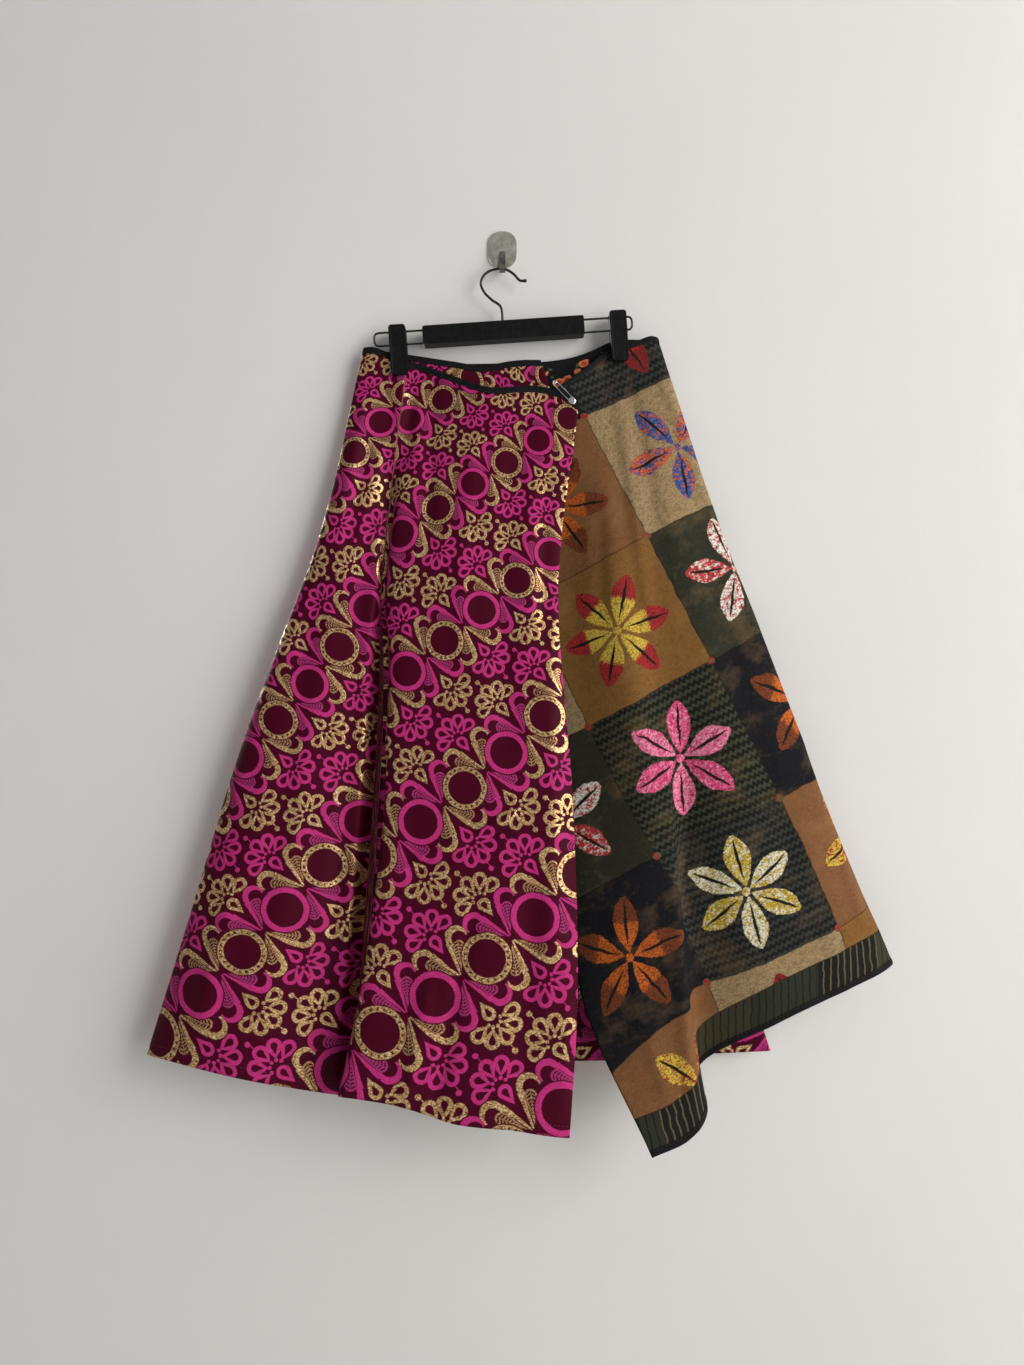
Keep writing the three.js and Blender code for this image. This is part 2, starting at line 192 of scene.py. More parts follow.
def studio_sheet(name, corners, colour, see_through_back):
    """A flat wall or floor of painted plaster."""
    material, tree, shader = new_material(name + "_paint", Roughness=0.9)
    where = place_of(tree)
    pale = tuple(c * 1.05 for c in colour)
    patches = ramp(tree, noise(tree, where, 1.3, detail=4), (0.35, colour), (0.65, pale))
    fill(shader.inputs["Base Color"], patches)
    bump(tree, shader, noise(tree, where, 60, detail=5), strength=0.12, distance=0.002)
    if see_through_back:
        clear = add_node(tree, "BsdfTransparent").outputs[0]
        ray = add_node(tree, "LightPath").outputs
        near = Field(tree, ray["Ray Length"]).math("LESS_THAN", CLEAR_WITHIN)
        passed = near * Field(tree, ray["Is Camera Ray"]).flipped()
        passed = passed.most(Field(tree, add_node(tree, "NewGeometry").outputs["Backfacing"]))
        either = add_node(tree, "MixShader", {0: passed, 1: shader.outputs[0], 2: clear})
        fill(tree.nodes["Material Output"].inputs[0], either.outputs[0])
    mesh_object(name, corners, [((0, 1, 2, 3), 0)], [material], smooth=False)


left, right = -STUDIO_HALF, STUDIO_HALF
wall_corners = ((left, FLOOR_Z), (right, FLOOR_Z), (right, WALL_TOP), (left, WALL_TOP))
floor_corners = ((left, FLOOR_FRONT), (right, FLOOR_FRONT), (right, STUDIO_HALF), (left, STUDIO_HALF))
studio_sheet("studio_wall", [(x, WALL_Y, z) for x, z in wall_corners], WALL_COLOUR, True)
studio_sheet("studio_floor", [(x, y, FLOOR_Z) for x, y in floor_corners], FLOOR_COLOUR, False)

bpy.context.scene.view_settings.view_transform = "Standard"
world = bpy.data.worlds.new("studio_air")
world.use_nodes = True
world.node_tree.nodes["Background"].inputs["Color"].default_value = (0.93, 0.96, 1.0, 1)
world.node_tree.nodes["Background"].inputs["Strength"].default_value = 0.32
bpy.context.scene.world = world

# name, place, aimed at, width, height, watts, colour
LAMPS = (
    ("window", (3.3, -2.2, 0.7), (0.0, 0.0, -0.6), 3.2, 2.8, 168, (1.0, 0.985, 0.96)),
    ("low_fill", (2.6, -2.8, -1.0), (0.0, 0.0, -0.9), 1.6, 0.8, 17, (0.95, 0.97, 1.0)),
    ("behind_wall", (-1.8, 2.4, 0.6), (0.0, 0.0, -0.6), 2.0, 2.0, 70, (1.0, 1.0, 1.0)),
)
for name, place, aim, wide, tall, watts, colour in LAMPS:
    lamp = bpy.data.lights.new(name, "AREA")
    lamp.shape, lamp.size, lamp.size_y, lamp.energy, lamp.color = "RECTANGLE", wide, tall, watts, colour
    holder = bpy.data.objects.new(name, lamp)
    holder.location = place
    holder.rotation_euler = (Vector(aim) - Vector(place)).to_track_quat("-Z", "Y").to_euler()
    bpy.context.scene.collection.objects.link(holder)

# ---- The brocade apron: how its cloth hangs ----------------------------------------
# Heavy woven brocade, 1.4 mm thick, cut as a flared apron. It hangs from the clips in
# large soft folds. Each row is one fold line from waist to hem, in millimetres: its
# heights, then its sideways place and its distance from the wall at five stations.
STATIONS = (0, 0.26, 0.56, 0.81, 1)     # waist, hip, thigh, knee and hem, as parts of the drop
CLIPPED_DROP = 30                       # below the waist edge the cloth is pinched straight
ARC_STEPS = 240                         # points along a fold line
FLAT_DOWNS, FLAT_STEPS = 121, 12        # of the cloth rolled out: points down it, columns to a row
PANEL_DOWNS, PANEL_STEPS = 220, 15      # of a panel's surface
RIM_STEPS = 3                           # points over which a panel's edge is rounded
# name, waist and hem height, x at the five stations, distance out at the five stations
BROCADE_FOLDS = (
    ("free edge", -195, -1025, 90, 65, 81, 85, 76, 36, 55, 76, 90, 93),
    ("edge fall", -181, -1021, 70, 48, 58, 60, 50, 36, 58, 80, 94, 97),
    ("front flat", -173, -1015, 38, 18, 22, 21, 12, 35, 60, 82, 95, 98),
    ("waist dip", -174, -1009, -14, -38, -41, -46, -51, 33, 57, 79, 92, 95),
    ("roll", -157, -991, -61, -82, -92, -100, -113, 25, 52, 73, 86, 91),
    ("ridge", -143, -982, -97, -119, -131, -152, -185, 19.2, 44, 65, 78, 84),
    ("valley", -139, -999, -111, -136, -147, -163, -176, 18.6, 26, 33, 38, 44),
    ("bulge", -131, -970, -130, -174, -226, -261, -291, 18.6, 36, 54, 64, 68),
    ("near side", -123, -951, -152, -206, -284, -340, -384, 19.2, 31, 45, 54, 58),
    ("side", -123, -951, -163, -212, -302, -364, -412, 16, 22, 30, 35, 38),
    ("turn", -124, -954, -154, -202, -290, -350, -394, 13.2, 14.5, 17, 20, 22),
    ("back side", -129, -966, -118, -150, -215, -270, -310, 13.4, 14, 13.5, 14, 16),
    ("back left", -138, -974, -58, -72, -90, -106, -120, 13, 13, 14.5, 16.5, 18),
    ("back dip", -143, -970, -22, 0, 12, 18, 20, 12.4, 12, 11, 11, 12),
    ("back swell", -138, -964, 6, 55, 105, 128, 150, 12.4, 13, 16.5, 18.5, 21),
    ("back right", -136, -960, 26, 92, 160, 205, 240, 12.4, 13, 14, 12.5, 14),
    ("back edge", -136, -955, 46, 117, 198, 267, 318, 12.4, 12.8, 12.5, 13.5, 17),
)
BROCADE_SIDE_SEAM = 9.5                 # halfway between the rows "side" and "turn"
# Creases: row and drop below the waist at each end, how wide, how far outward
BROCADE_CREASES = (
    (4.15, 572, 2.9, 528, 5, 6.5), (2.9, 528, 2.1, 494, 4.5, 5.0), (4.2, 584, 2.3, 512, 6, -5.0),
    (3.4, 850, 3.1, 706, 9, -4.0), (3.1, 706, 2.8, 600, 8, -2.6), (3.9, 850, 3.6, 690, 9, 3.2),
    (6.3, 12, 5.7, 168, 8, 3.0), (4.5, 20, 4.1, 214, 9, -3.2), (5.3, 30, 5.1, 130, 6, -2.2),
    (2.2, 46, 2.3, 440, 17, -3.4), (0.4, 250, 1.3, 700, 15, 3.0), (3.2, 60, 3.1, 330, 12, 2.4),
    (1.2, 90, 0.9, 300, 9, -2.0), (1.7, 560, 1.9, 850, 18, -3.6), (0.5, 620, 0.4, 850, 10, 2.2),
    (6.0, 300, 6.0, 600, 12, -10.5), (6.0, 570, 6.02, 870, 12, -13.0), (6.26, 190, 6.24, 840, 12, 11.5),
    (5.55, 330, 5.5, 860, 13, -12.0),
    (6.62, 260, 6.56, 780, 16, 4.5), (6.03, 90, 6.03, 250, 9, -2.5), (5.3, 470, 5.25, 900, 13, -9.0),
    (5.2, 140, 5.1, 800, 9, 3.5), (7.8, 262, 7.2, 670, 15, -3.6), (7.7, 640, 7.6, 830, 12, 4.0),
    (7.6, 56, 7.5, 205, 8, 2.6), (8.2, 300, 8.3, 560, 9, 2.4), (7.0, 90, 7.05, 250, 9, -2.2),
    (10.6, 120, 10.9, 700, 12, -3.0), (11.5, 40, 11.8, 500, 10, -2.0), (12.6, 300, 12.4, 840, 14, -3.0),
    (13.5, 60, 13.6, 420, 9, -2.2), (14.5, 380, 14.3, 820, 13, -2.4), (15.4, 100, 15.3, 650, 11, -2.0),
)


def through(points, places):
    """Points at these places on the smooth line through the given ones, or on many such lines at once."""
    line = np.concatenate([2 * points[:1] - points[1:2], points, 2 * points[-1:] - points[-2:-1]])
    first = np.clip(np.floor(places).astype(int), 0, len(points) - 2)
    a, b, c, d = (line[first + k] for k in range(4))
    part = (places - first).reshape(-1, *[1] * (points.ndim - 1))
    ab, bc, cd = (np.sqrt(np.linalg.norm(q - p, axis=-1, keepdims=True)) for p, q in ((a, b), (b, c), (c, d)))
    leave = ((b - a) / ab - (c - a) / (ab + bc) + (c - b) / bc) * bc
    arrive = ((c - b) / bc - (d - b) / (bc + cd) + (d - c) / cd) * bc
    return (b + part * leave + part ** 2 * (3 * (c - b) - 2 * leave - arrive)
            + part ** 3 * (2 * (b - c) + leave + arrive))


def unit(vectors):
    return vectors / np.linalg.norm(vectors, axis=-1, keepdims=True)


def turned(x, y, angle):
    """A place on axes that are turned to the left by this angle."""
    return x * math.cos(angle) + y * math.sin(angle), y * math.cos(angle) - x * math.sin(angle)


def between(at, places, line):
    """Points of a line at these places, from the points that it has at the given places."""
    return np.stack([np.interp(at, places, line[:, axis]) for axis in range(3)], axis=-1)


def lengths_along(line):
    """How far along a line each of its points lies."""
    return np.concatenate([[0], np.cumsum(np.linalg.norm(np.diff(line, axis=0), axis=1))])


def fold_lines(folds):
    """Each fold line as evenly spaced points from waist to hem, and its length."""
    lines, lengths = [], []
    for _, waist_z, hem_z, *places in folds:
        drop = waist_z - hem_z
        points = [np.array((x, -out, waist_z - drop * station))
                  for station, x, out in zip(STATIONS, places[:5], places[5:])]
        pinched = points[0] + (points[1] - points[0]) * CLIPPED_DROP / (drop * STATIONS[1])
        pinched[1] = points[0][1]
        points.insert(1, pinched)
        fine = through(np.array(points), np.linspace(0, len(points) - 1, ARC_STEPS))
        run = lengths_along(fine)
        lines.append(between(np.linspace(0, run[-1], ARC_STEPS), run, fine))
        lengths.append(run[-1])
    return np.array(lines), np.array(lengths)


def hanging(folds, rows, count, top=0.0, bottom=0.0):
    """The cloth's middle: a grid of points with its normals, and how far each point is from the hem edge.

    It has a column at each of these rows, of this many points between these distances
    from the waist edge and from the hem edge.
    """
    lines, lengths = fold_lines(folds)
    line_points = []
    for line, length in zip(lines, lengths):
        at = np.linspace(top, length - bottom, count) / length * (ARC_STEPS - 1)
        line_points.append(between(at, np.arange(ARC_STEPS), line))
    grid = through(np.array(line_points), rows)
    normals = unit(np.cross(np.gradient(grid, rows, axis=0), np.gradient(grid, axis=1)))
    column_length = np.interp(rows, np.arange(len(lengths)), lengths)
    hem_off = np.linspace(1, 0, count)[None, :] * (column_length[:, None] - top - bottom) + bottom
    return grid, normals, hem_off


def unrolled(grid, rows, laid_first, way):
    """Where each point of a grid lies on the cut, as the cloth is rolled out flat strip by strip."""
    start = int(np.argmin(abs(rows - laid_first)))
    near, far = grid.shape[1] // 12, grid.shape[1] - grid.shape[1] // 12
    down = unit(np.gradient(grid, axis=1))
    fall = np.linalg.norm(grid[:, near] - grid[:, far], axis=-1)
    flat = np.zeros((*grid.shape[:2], 2))
    run = np.linalg.norm(np.diff(grid[start], axis=0), axis=1)
    flat[start, 1:, 1] = -np.cumsum(run)
    for side in (1, -1):
        lean, column = 0.0, start
        while 0 <= column + side < len(rows):
            step = grid[column + side] - grid[column]
            along = (step * down[column]).sum(axis=1)
            across = np.sqrt(np.maximum((step ** 2).sum(axis=1) - along ** 2, 0)) * side * way
            fanned = (across[far] - across[near]) / fall[column]
            aside, downward = turned(across, along, lean + fanned / 2)
            flat[column + side, :, 0] = flat[column, :, 0] + aside
            flat[column + side, :, 1] = flat[column, :, 1] - downward
            lean += fanned
            column += side
    return flat


def spaced(start, end, steps_each):
    """Even places from start to end, with every whole row among them."""
    inner = np.arange(math.floor(start * steps_each) + 1, math.ceil(end * steps_each)) / steps_each
    return np.concatenate([[start], inner, [end]])


def rounded_rim(count, closed=(True, True)):
    """How thick a wall is at each of its points along one side, as a share: round at closed ends."""
    share = np.ones(count)
    for end, sign in zip(closed, (1, -1)):
        if end:
            place = (np.arange(RIM_STEPS) + 0.35) / RIM_STEPS
            share[::sign][:RIM_STEPS] = np.sqrt(1 - (1 - place) ** 2)
    return share


def cloth_wall(name, middle, normals, half, flat, hem_off, outer, inner, inside_out):
    """A closed thin wall of cloth round a grid of points, in millimetres, with its place on the cut kept."""
    columns, downs = middle.shape[:2]
    count = columns * downs
    off = normals * half[..., None]
    points = np.concatenate([(middle + off).reshape(-1, 3), (middle - off).reshape(-1, 3)]) * MM
    index = np.arange(count).reshape(columns, downs)
    a, b, c, d = (x.ravel() for x in (index[:-1, :-1], index[1:, :-1], index[1:, 1:], index[:-1, 1:]))
    front = np.stack([a, b, c, d], axis=1)
    back = np.stack([a, d, c, b], axis=1) + count
    rims = []
    for edge in (index[:, 0][::-1], index[:, -1], index[0, :], index[-1, ::-1]):
        rims.append(np.stack([edge[:-1], edge[1:], edge[1:] + count, edge[:-1] + count], axis=1))
    rim = np.concatenate(rims)
    faces = np.concatenate([front, back, rim])
    kinds = np.concatenate([np.full(len(front), int(inside_out)), np.full(len(back), int(not inside_out)),
                            np.zeros(len(rim), dtype=int)])
    thing = mesh_object(name, points, list(zip(map(tuple, faces.tolist()), kinds.tolist())), [outer, inner])
    places = np.concatenate([flat.reshape(-1, 2)] * 2)
    drawn = np.column_stack([places, np.concatenate([hem_off.ravel()] * 2)])
    thing.data.attributes.new("cut", "FLOAT_VECTOR", "POINT").data.foreach_set("vector", drawn.ravel())
    return thing


class Apron:
    """One apron: its fold lines and creases, and its cloth rolled out flat from one of its rows."""

    def __init__(self, folds, creases, laid_first, way):
        self.folds, self.way = folds, way
        self.rows = spaced(0, len(folds) - 1, FLAT_STEPS)
        grid, _, hem_off = hanging(folds, self.rows, FLAT_DOWNS)
        self.flat = unrolled(grid, self.rows, laid_first, way)
        self.lengths = hem_off[:, 0]
        self.creases = [(self.spot(*crease[:2]), self.spot(*crease[2:4]), *crease[4:]) for crease in creases]

    def spot(self, row, drop):
        length = np.interp(row, self.rows, self.lengths)
        return self.cut_place([row], np.array([[length - min(drop, length)]]))[0, 0]

    def cut_place(self, rows, hem_off):
        """Where points lie on the cut, from their row and their distance from the hem edge."""
        place = np.empty((*hem_off.shape, 2))
        for column, row in enumerate(rows):
            low = min(int(np.searchsorted(self.rows, row, side="right")) - 1, len(self.rows) - 2)
            share = (row - self.rows[low]) / (self.rows[low + 1] - self.rows[low])
            line = self.flat[low] * (1 - share) + self.flat[low + 1] * share
            length = self.lengths[low] * (1 - share) + self.lengths[low + 1] * share
            at = (1 - hem_off[column] / length) * (FLAT_DOWNS - 1)
            for axis in range(2):
                place[column, :, axis] = np.interp(at, np.arange(FLAT_DOWNS), line[:, axis])
        return place

    def cloth(self, rows, count, top=0, bottom=0, keep=slice(None)):
        """The creased cloth: its grid, normals, place on the cut and distance from the hem edge."""
        grid, normals, hem_off = (part[:, keep] for part in hanging(self.folds, rows, count, top, bottom))
        flat = self.cut_place(rows, hem_off)
        moved = np.zeros(hem_off.shape)
        for start, end, wide, deep in self.creases:
            along = end - start
            part = ((flat - start) @ along) / (along @ along)
            off = np.linalg.norm(flat - start - np.clip(part, 0, 1)[..., None] * along, axis=-1)
            fade = np.clip(np.minimum(part, 1 - part) * 4 + 0.35, 0, 1)
            moved -= self.way * deep * fade * np.exp(-(off / wide) ** 2)
        return grid + normals * moved[..., None], normals, flat, hem_off


def panel(name, apron, start, end, top, bottom, thick, outer, inner, raised=0.0, drawn=None):
    """One panel of an apron as a thin closed wall of cloth; raised lifts it off the apron's middle."""
    rows = spaced(start, end, PANEL_STEPS)
    grid, normals, flat, hem_off = apron.cloth(rows, PANEL_DOWNS, top, bottom)
    closed = (start == 0, end == len(apron.folds) - 1)
    half = thick / 2 * np.outer(rounded_rim(len(rows), closed), rounded_rim(PANEL_DOWNS))
    flat = drawn(flat, rows) if drawn else flat
    return cloth_wall(name, grid + normals * raised, normals, half, flat, hem_off,
                      outer, inner, apron.way > 0)


brocade = Apron(BROCADE_FOLDS, BROCADE_CREASES, 2, -1)
BROCADE_END = len(BROCADE_FOLDS) - 1

# ---- Brocade: the weave -------------------------------------------------------------
# A plum satin ground. Chains of rings run up to the right, magenta and gold by turns.
# Where two rings meet, a pair of hooked leaves springs to each side, and a half daisy
# grows between them. The gold is flat metal thread; its glitter is painted highlight in flecks.
RING_STEP = 62.6                        # along a chain, where the weave has its nominal size
CHAIN_GAP = 153.0
CHAIN_SHIFT = -31.3                     # each chain starts half a step before the one below
RING_OUTER, RING_INNER = 24.1, 18.5
DAISY_OFF = 50.5                        # from the chain's middle to a daisy's heart
PETAL_TURN = math.radians(40)
DAISY_SIZE = 0.95
PLUM, PLUM_DEEP, RING_HEART = (76, 5, 34), (53, 2, 20), (67, 4, 27)
MAGENTA, MAGENTA_PALE, MAGENTA_HATCH = (166, 32, 98), (200, 62, 130), (156, 52, 102)
# The brightest gold colour is a painted highlight: glints of the metal thread put into its colour.
GOLD, GOLD_DARK, GOLD_PAINTED_GLINT = (196, 155, 102), (74, 36, 28), (254, 236, 196)
MAGENTA_GAP, GOLD_GAP, GOLD_HATCH = (92, 14, 56), (78, 22, 34), (122, 72, 58)     # a leaf's rungs
SOFT = 0.8                              # how many millimetres wide the edge of each shape is
# The gores: first and last row, the fan's middle, how far the chains lean, and a ring's place
GORES = ((0, 6, -30, 40, (-40, -266)), (6.001, 99, -280, 46, (-305, -602)))
FAN_APEX, FAN_REACH = 923, 1391         # height of the fans' middles, where the weave is full size


def dyed(red, green, blue):
    """A colour as the eye reads it, 0 to 255, turned into amounts of light."""
    return tuple(((c / 255 + 0.055) / 1.055) ** 2.4 if c > 10 else c / 3294 for c in (red, green, blue))


def new_group(name, takes, gives):
    """A shader node group with these sockets: names and kinds, and a value for each input."""
    group = bpy.data.node_groups.new(name, "ShaderNodeTree")
    for label, kind, value in takes:
        socket = group.interface.new_socket(label, in_out="INPUT", socket_type="NodeSocket" + kind)
        if value is not None:
            socket.default_value = value
    for label, kind in gives:
        group.interface.new_socket(label, in_out="OUTPUT", socket_type="NodeSocket" + kind)
    return group, group.nodes.new("NodeGroupInput").outputs, group.nodes.new("NodeGroupOutput").inputs


def placed(tree, group, **takes):
    """A shader node group put into a tree, and its outputs."""
    box = add_node(tree, "Group", node_tree=group)
    for label, value in takes.items():
        fill(box.inputs[label], value)
    return box.outputs


def cut_of(tree):
    """Each point's place on the flat cut, or in the brocade's weave, and its way from the hem."""
    return add_node(tree, "Attribute", attribute_name="cut").outputs["Vector"]


def axes_of(tree, place):
    """The three parts of a place, as fields."""
    return [Field(tree, part) for part in add_node(tree, "SeparateXYZ", {0: place}).outputs]


def wavering(tree, where, by, scale, detail):
    """The three parts of a place on the cut, which noise has moved by up to this much."""
    wobble = noise(tree, where, scale, detail, gives="Color")
    moved = add_node(tree, "VectorMath", {0: wobble, 1: (by, by, 0), 2: where}, operation="MULTIPLY_ADD")
    return axes_of(tree, moved.outputs[0])


def teardrop(x, y, wide, long):
    """Distance to a drop: round about y = 0, with its point at y = -long."""
    lean = math.asin(wide / long)
    sides = abs(x) * math.cos(lean) - (y + long) * math.sin(lean)
    return (x.apart(y) - wide).least(sides.most(y + wide ** 2 / long))


daisy, takes, gives = new_group(
    "half_daisy",
    [("Aside", "Float", 0.0), ("Away", "Float", 0.0)],
    [("Petals", "Float")])
x, y = Field(daisy, takes["Aside"]) / DAISY_SIZE, Field(daisy, takes["Away"]) / DAISY_SIZE
turn = x.math("ARCTAN2", y)
petal = (turn / PETAL_TURN).math("ROUND").most(-2.0).least(2.0)
turn = turn - petal * PETAL_TURN
reach = x.apart(y)
px, py = reach * turn.math("SINE"), reach * turn.math("COSINE")
loop = teardrop(px, py - 21.6, 7.9, 13.0)
dark_drop = teardrop(px, py - 21.6, 3.7, 8.6)
dots = px.apart(py - 7.4) - 1.9
heart = teardrop(x, y + 7.4, 7.0, 15.0)
heart_drop = teardrop(x, y + 7.4, 3.2, 8.0)
stalk_dot = (x + 2.0).apart(y - 37.0) - 2.9
stalk = (abs(x + 1.0) - 0.45).most(abs(y - 32.0) - 4.0)
shape = loop.inside(SOFT) - dark_drop.inside(SOFT)
shape = shape.most(dots.inside(SOFT)).most(heart.inside(SOFT) - heart_drop.inside(SOFT))
shape = shape.most(stalk_dot.inside(SOFT)).most(stalk.inside(0.6))
fill(gives["Petals"], shape.math("MAXIMUM", 0.0, clamp=True))

leaf, takes, gives = new_group(
    "hooked_leaf",
    [("Aside", "Float", 0.0), ("Away", "Float", 0.0)],
    [("Band", "Float"), ("Feather", "Float"), ("Rungs", "Float"), ("Near", "Float")])
x, y = Field(leaf, takes["Aside"]), Field(leaf, takes["Away"])
STEM_LEAN = (0.283, 0.959)
along, off = x * STEM_LEAN[0] + y * STEM_LEAN[1], x * STEM_LEAN[1] - y * STEM_LEAN[0]
stem = (abs(off) - (along * 0.06 + 0.5)).most(along - 36.0).most(along * -1.0 + 3.0)
hook = ((x - 20.3).apart(y - 35.2) - 11.2).most(((x - 21.4).apart(y - 32.6) - 7.6) * -1.0)
band = stem.least(hook.most(y * -1.0 + 30.5))
FEATHER_LEAN = (0.515, 0.857)
along = (x - 3.5) * FEATHER_LEAN[0] + (y - 5.0) * FEATHER_LEAN[1]
off = (x - 3.5) * FEATHER_LEAN[1] - (y - 5.0) * FEATHER_LEAN[0]
feather = teardrop(off, along - 25.6, 5.6, 25.0)
rungs = ((along * 1.9 + abs(off) * 1.1).math("SINE") * 0.9).most(feather + 1.3).most(abs(off) * -1.0 + 0.5)
fill(gives["Band"], band.inside(SOFT))
fill(gives["Feather"], feather.inside(SOFT))
fill(gives["Rungs"], rungs.math("GREATER_THAN", 0.12))
fill(gives["Near"], (band.least(feather) - 1.4).inside(SOFT))


def brocade_material():
    material, tree, shader = new_material("woven_brocade", Roughness=0.5, Specular_IOR_Level=0.06)
    where = cut_of(tree)
    s, t, _ = wavering(tree, where, 1.8, scale=0.11, detail=2)
    s, t = s - 0.9, t - 0.9

    chain = (t / CHAIN_GAP).math("ROUND")
    across = t - chain * CHAIN_GAP
    along = s - chain * CHAIN_SHIFT
    ring = (along / RING_STEP).math("ROUND")
    ring_gold = ring.odd()
    radius = (along - ring * RING_STEP).apart(across * 0.95)
    ring_band = (radius - RING_OUTER).inside(SOFT) - (radius - RING_INNER).inside(SOFT)
    clear_of_ring = (radius - RING_OUTER - 1.2).inside(SOFT).flipped()
    ring_heart = (radius - RING_INNER).inside(SOFT)

    knot = (along / RING_STEP).floor()
    side = along - (knot + 0.5) * RING_STEP
    upper = across.math("GREATER_THAN", 0.0)
    leaf_gold = (knot + chain + upper).odd()
    leaves = placed(tree, leaf, Aside=abs(side), Away=abs(across))
    band, feather = Field(tree, leaves["Band"]), Field(tree, leaves["Feather"])

    def daisies(way):
        """The half daisies on the upper (1) or lower (-1) side of every chain."""
        row = ((t - DAISY_OFF * way) / CHAIN_GAP).math("ROUND")
        along_row = s - row * CHAIN_SHIFT
        at = (along_row / RING_STEP).floor()
        petals = placed(tree, daisy, Aside=along_row - (at + 0.5) * RING_STEP,
                        Away=(t - row * CHAIN_GAP - DAISY_OFF * way) * way)["Petals"]
        return Field(tree, petals), (at + row + (0.0 if way > 0 else 1.0)).odd()

    over, over_gold = daisies(1)
    under, under_gold = daisies(-1)
    leaf_shape = band.most(feather) * clear_of_ring
    free = Field(tree, leaves["Near"]).flipped()
    over, under = over * free, under * free * over.flipped()

    thread = noise(tree, where, 0.42, detail=3, rough=0.8)
    fleck = noise(tree, where, 0.55, detail=4, rough=0.75)
    hatched = Field(tree, leaves["Rungs"])

    plum = ramp(tree, fleck, (0.35, dyed(*PLUM_DEEP)), (0.6, dyed(*PLUM)))
    pink = ramp(tree, fleck, (0.35, dyed(*MAGENTA)), (0.7, dyed(*MAGENTA_PALE)))
    pink_hatch = mixed(tree, hatched, dyed(*MAGENTA_GAP), dyed(*MAGENTA_HATCH))
    # The gold's colour runs from dark flecks through its own tone to painted glints, bright highlight flecks
    # put into the colour.
    metal = ramp(tree, thread, (0.39, dyed(*GOLD_DARK)), (0.47, dyed(*GOLD)), (0.55, dyed(*GOLD)),
                 (0.64, dyed(*GOLD_PAINTED_GLINT)))
    metal_hatch = mixed(tree, hatched, dyed(*GOLD_GAP), mixed(tree, 0.45, metal, dyed(*GOLD_HATCH)))

    spokes = (along - ring * RING_STEP).math("ARCTAN2", across) * 21.0 + fleck * 9.0
    ticks = spokes.math("SINE").math("GREATER_THAN", 0.5) * (radius - RING_INNER - 4.0).inside(SOFT)
    ticks = ticks * (radius - RING_INNER - 1.2).inside(SOFT).flipped()
    gold_ring = mixed(tree, ticks, metal, dyed(*GOLD_DARK))

    colour = mixed(tree, ring_heart, plum, dyed(*RING_HEART))
    for mask, gold, pink_thread, gold_thread in (
        (under, under_gold, pink, metal),
        (over, over_gold, pink, metal),
        (feather * clear_of_ring, leaf_gold, pink_hatch, metal_hatch),
        (band * clear_of_ring, leaf_gold, pink, metal),
        (ring_band, ring_gold, pink, gold_ring),
    ):
        colour = mixed(tree, mask, colour, mixed(tree, gold, pink_thread, gold_thread))
    fill(shader.inputs["Base Color"], colour)

    raised = over.most(under).most(leaf_shape).most(ring_band)
    golden = (over * over_gold).most(under * under_gold)
    golden = golden.most(leaf_shape * leaf_gold).most(ring_band * ring_gold)
    fill(shader.inputs["Metallic"], golden * 0.55)
    fill(shader.inputs["Roughness"], golden * -0.16 + 0.5)
    bump(tree, shader, raised * 0.8 + thread * 0.5, strength=0.5, distance=0.0006)
    return material


def woven(flat, rows):
    """Where each point of the brocade lies along and across the chains of rings, in its two gores."""
    places = np.zeros_like(flat)
    for first, last, apex_x, lean, ring_at in GORES:
        spread = []
        for place in (flat, np.array(ring_at, float)):
            off = place - np.array((apex_x, FAN_APEX))
            reach, swung = np.hypot(off[..., 0], off[..., 1]), np.arctan2(off[..., 0], -off[..., 1])
            spread.append(np.stack([FAN_REACH * swung, -FAN_REACH * np.log(reach / FAN_REACH)], axis=-1))
        off = spread[0] - spread[1]
        here = np.stack(turned(off[..., 0], off[..., 1], math.radians(lean)), axis=-1)
        chosen = (rows >= first) & (rows <= last)
        places[chosen] = here[chosen]
    return places


brocade_cloth = brocade_material()

# ---- Brocade apron: the front panel -------------------------------------------------
# The left half of the front, from its free edge near the middle round to the side seam.
brocade_front = panel("brocade_front_cloth", brocade, 0, BROCADE_SIDE_SEAM, 5, 0, 1.4,
                      brocade_cloth, brocade_cloth, drawn=woven)
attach(brocade_front, "root")
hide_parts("brocade_front")

# ---- Brocade apron: the back panel --------------------------------------------------
# From the side seam behind the wearer to its back edge. Its inner face shows at the waist.
brocade_back = panel("brocade_back_cloth", brocade, BROCADE_SIDE_SEAM, BROCADE_END, 5, 0, 1.4,
                     brocade_cloth, brocade_cloth, drawn=woven)
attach(brocade_back, "root")
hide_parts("brocade_back")

# ---- Brocade apron: waist tape and stitches -----------------------------------------
# Black woven tape folded over the waist edge and sewn through with black thread. The
# hem is turned up and sewn with plum thread.
TAPE_FINE, TAPE_POINTS, TAPE_STEPS = 2, 16, 12     # points to a millimetre and in all, columns to a row
STITCH, STITCH_GAP, STITCH_THICK = 3.2, 1.6, 0.5
SEAM_DOWNS, SEAM_STEPS, SEAM_ENDS = 500, 24, 0.02
TAPE_SEAM, HEM_SEAM = 6.2, 13           # from the edge to the stitches

yarn_weave, takes, gives = new_group(
    "yarn_weave",
    [("Place", "Vector", None), ("Threads", "Float", 1.0)],
    [("Height", "Float"), ("Speck", "Float")])
scaled = add_node(yarn_weave, "VectorMath", {0: takes["Place"], "Scale": takes["Threads"]},
                  operation="SCALE").outputs[0]
warp, weft = ((way * math.tau).math("SINE") for way in axes_of(yarn_weave, scaled)[:2])
hairs = noise(yarn_weave, scaled, 0.9, detail=4, rough=0.7)
fill(gives["Height"], warp * weft * 0.35 + hairs)
fill(gives["Speck"], ((hairs - 0.5) * 5.0).math("ADD", 0.5, clamp=True))


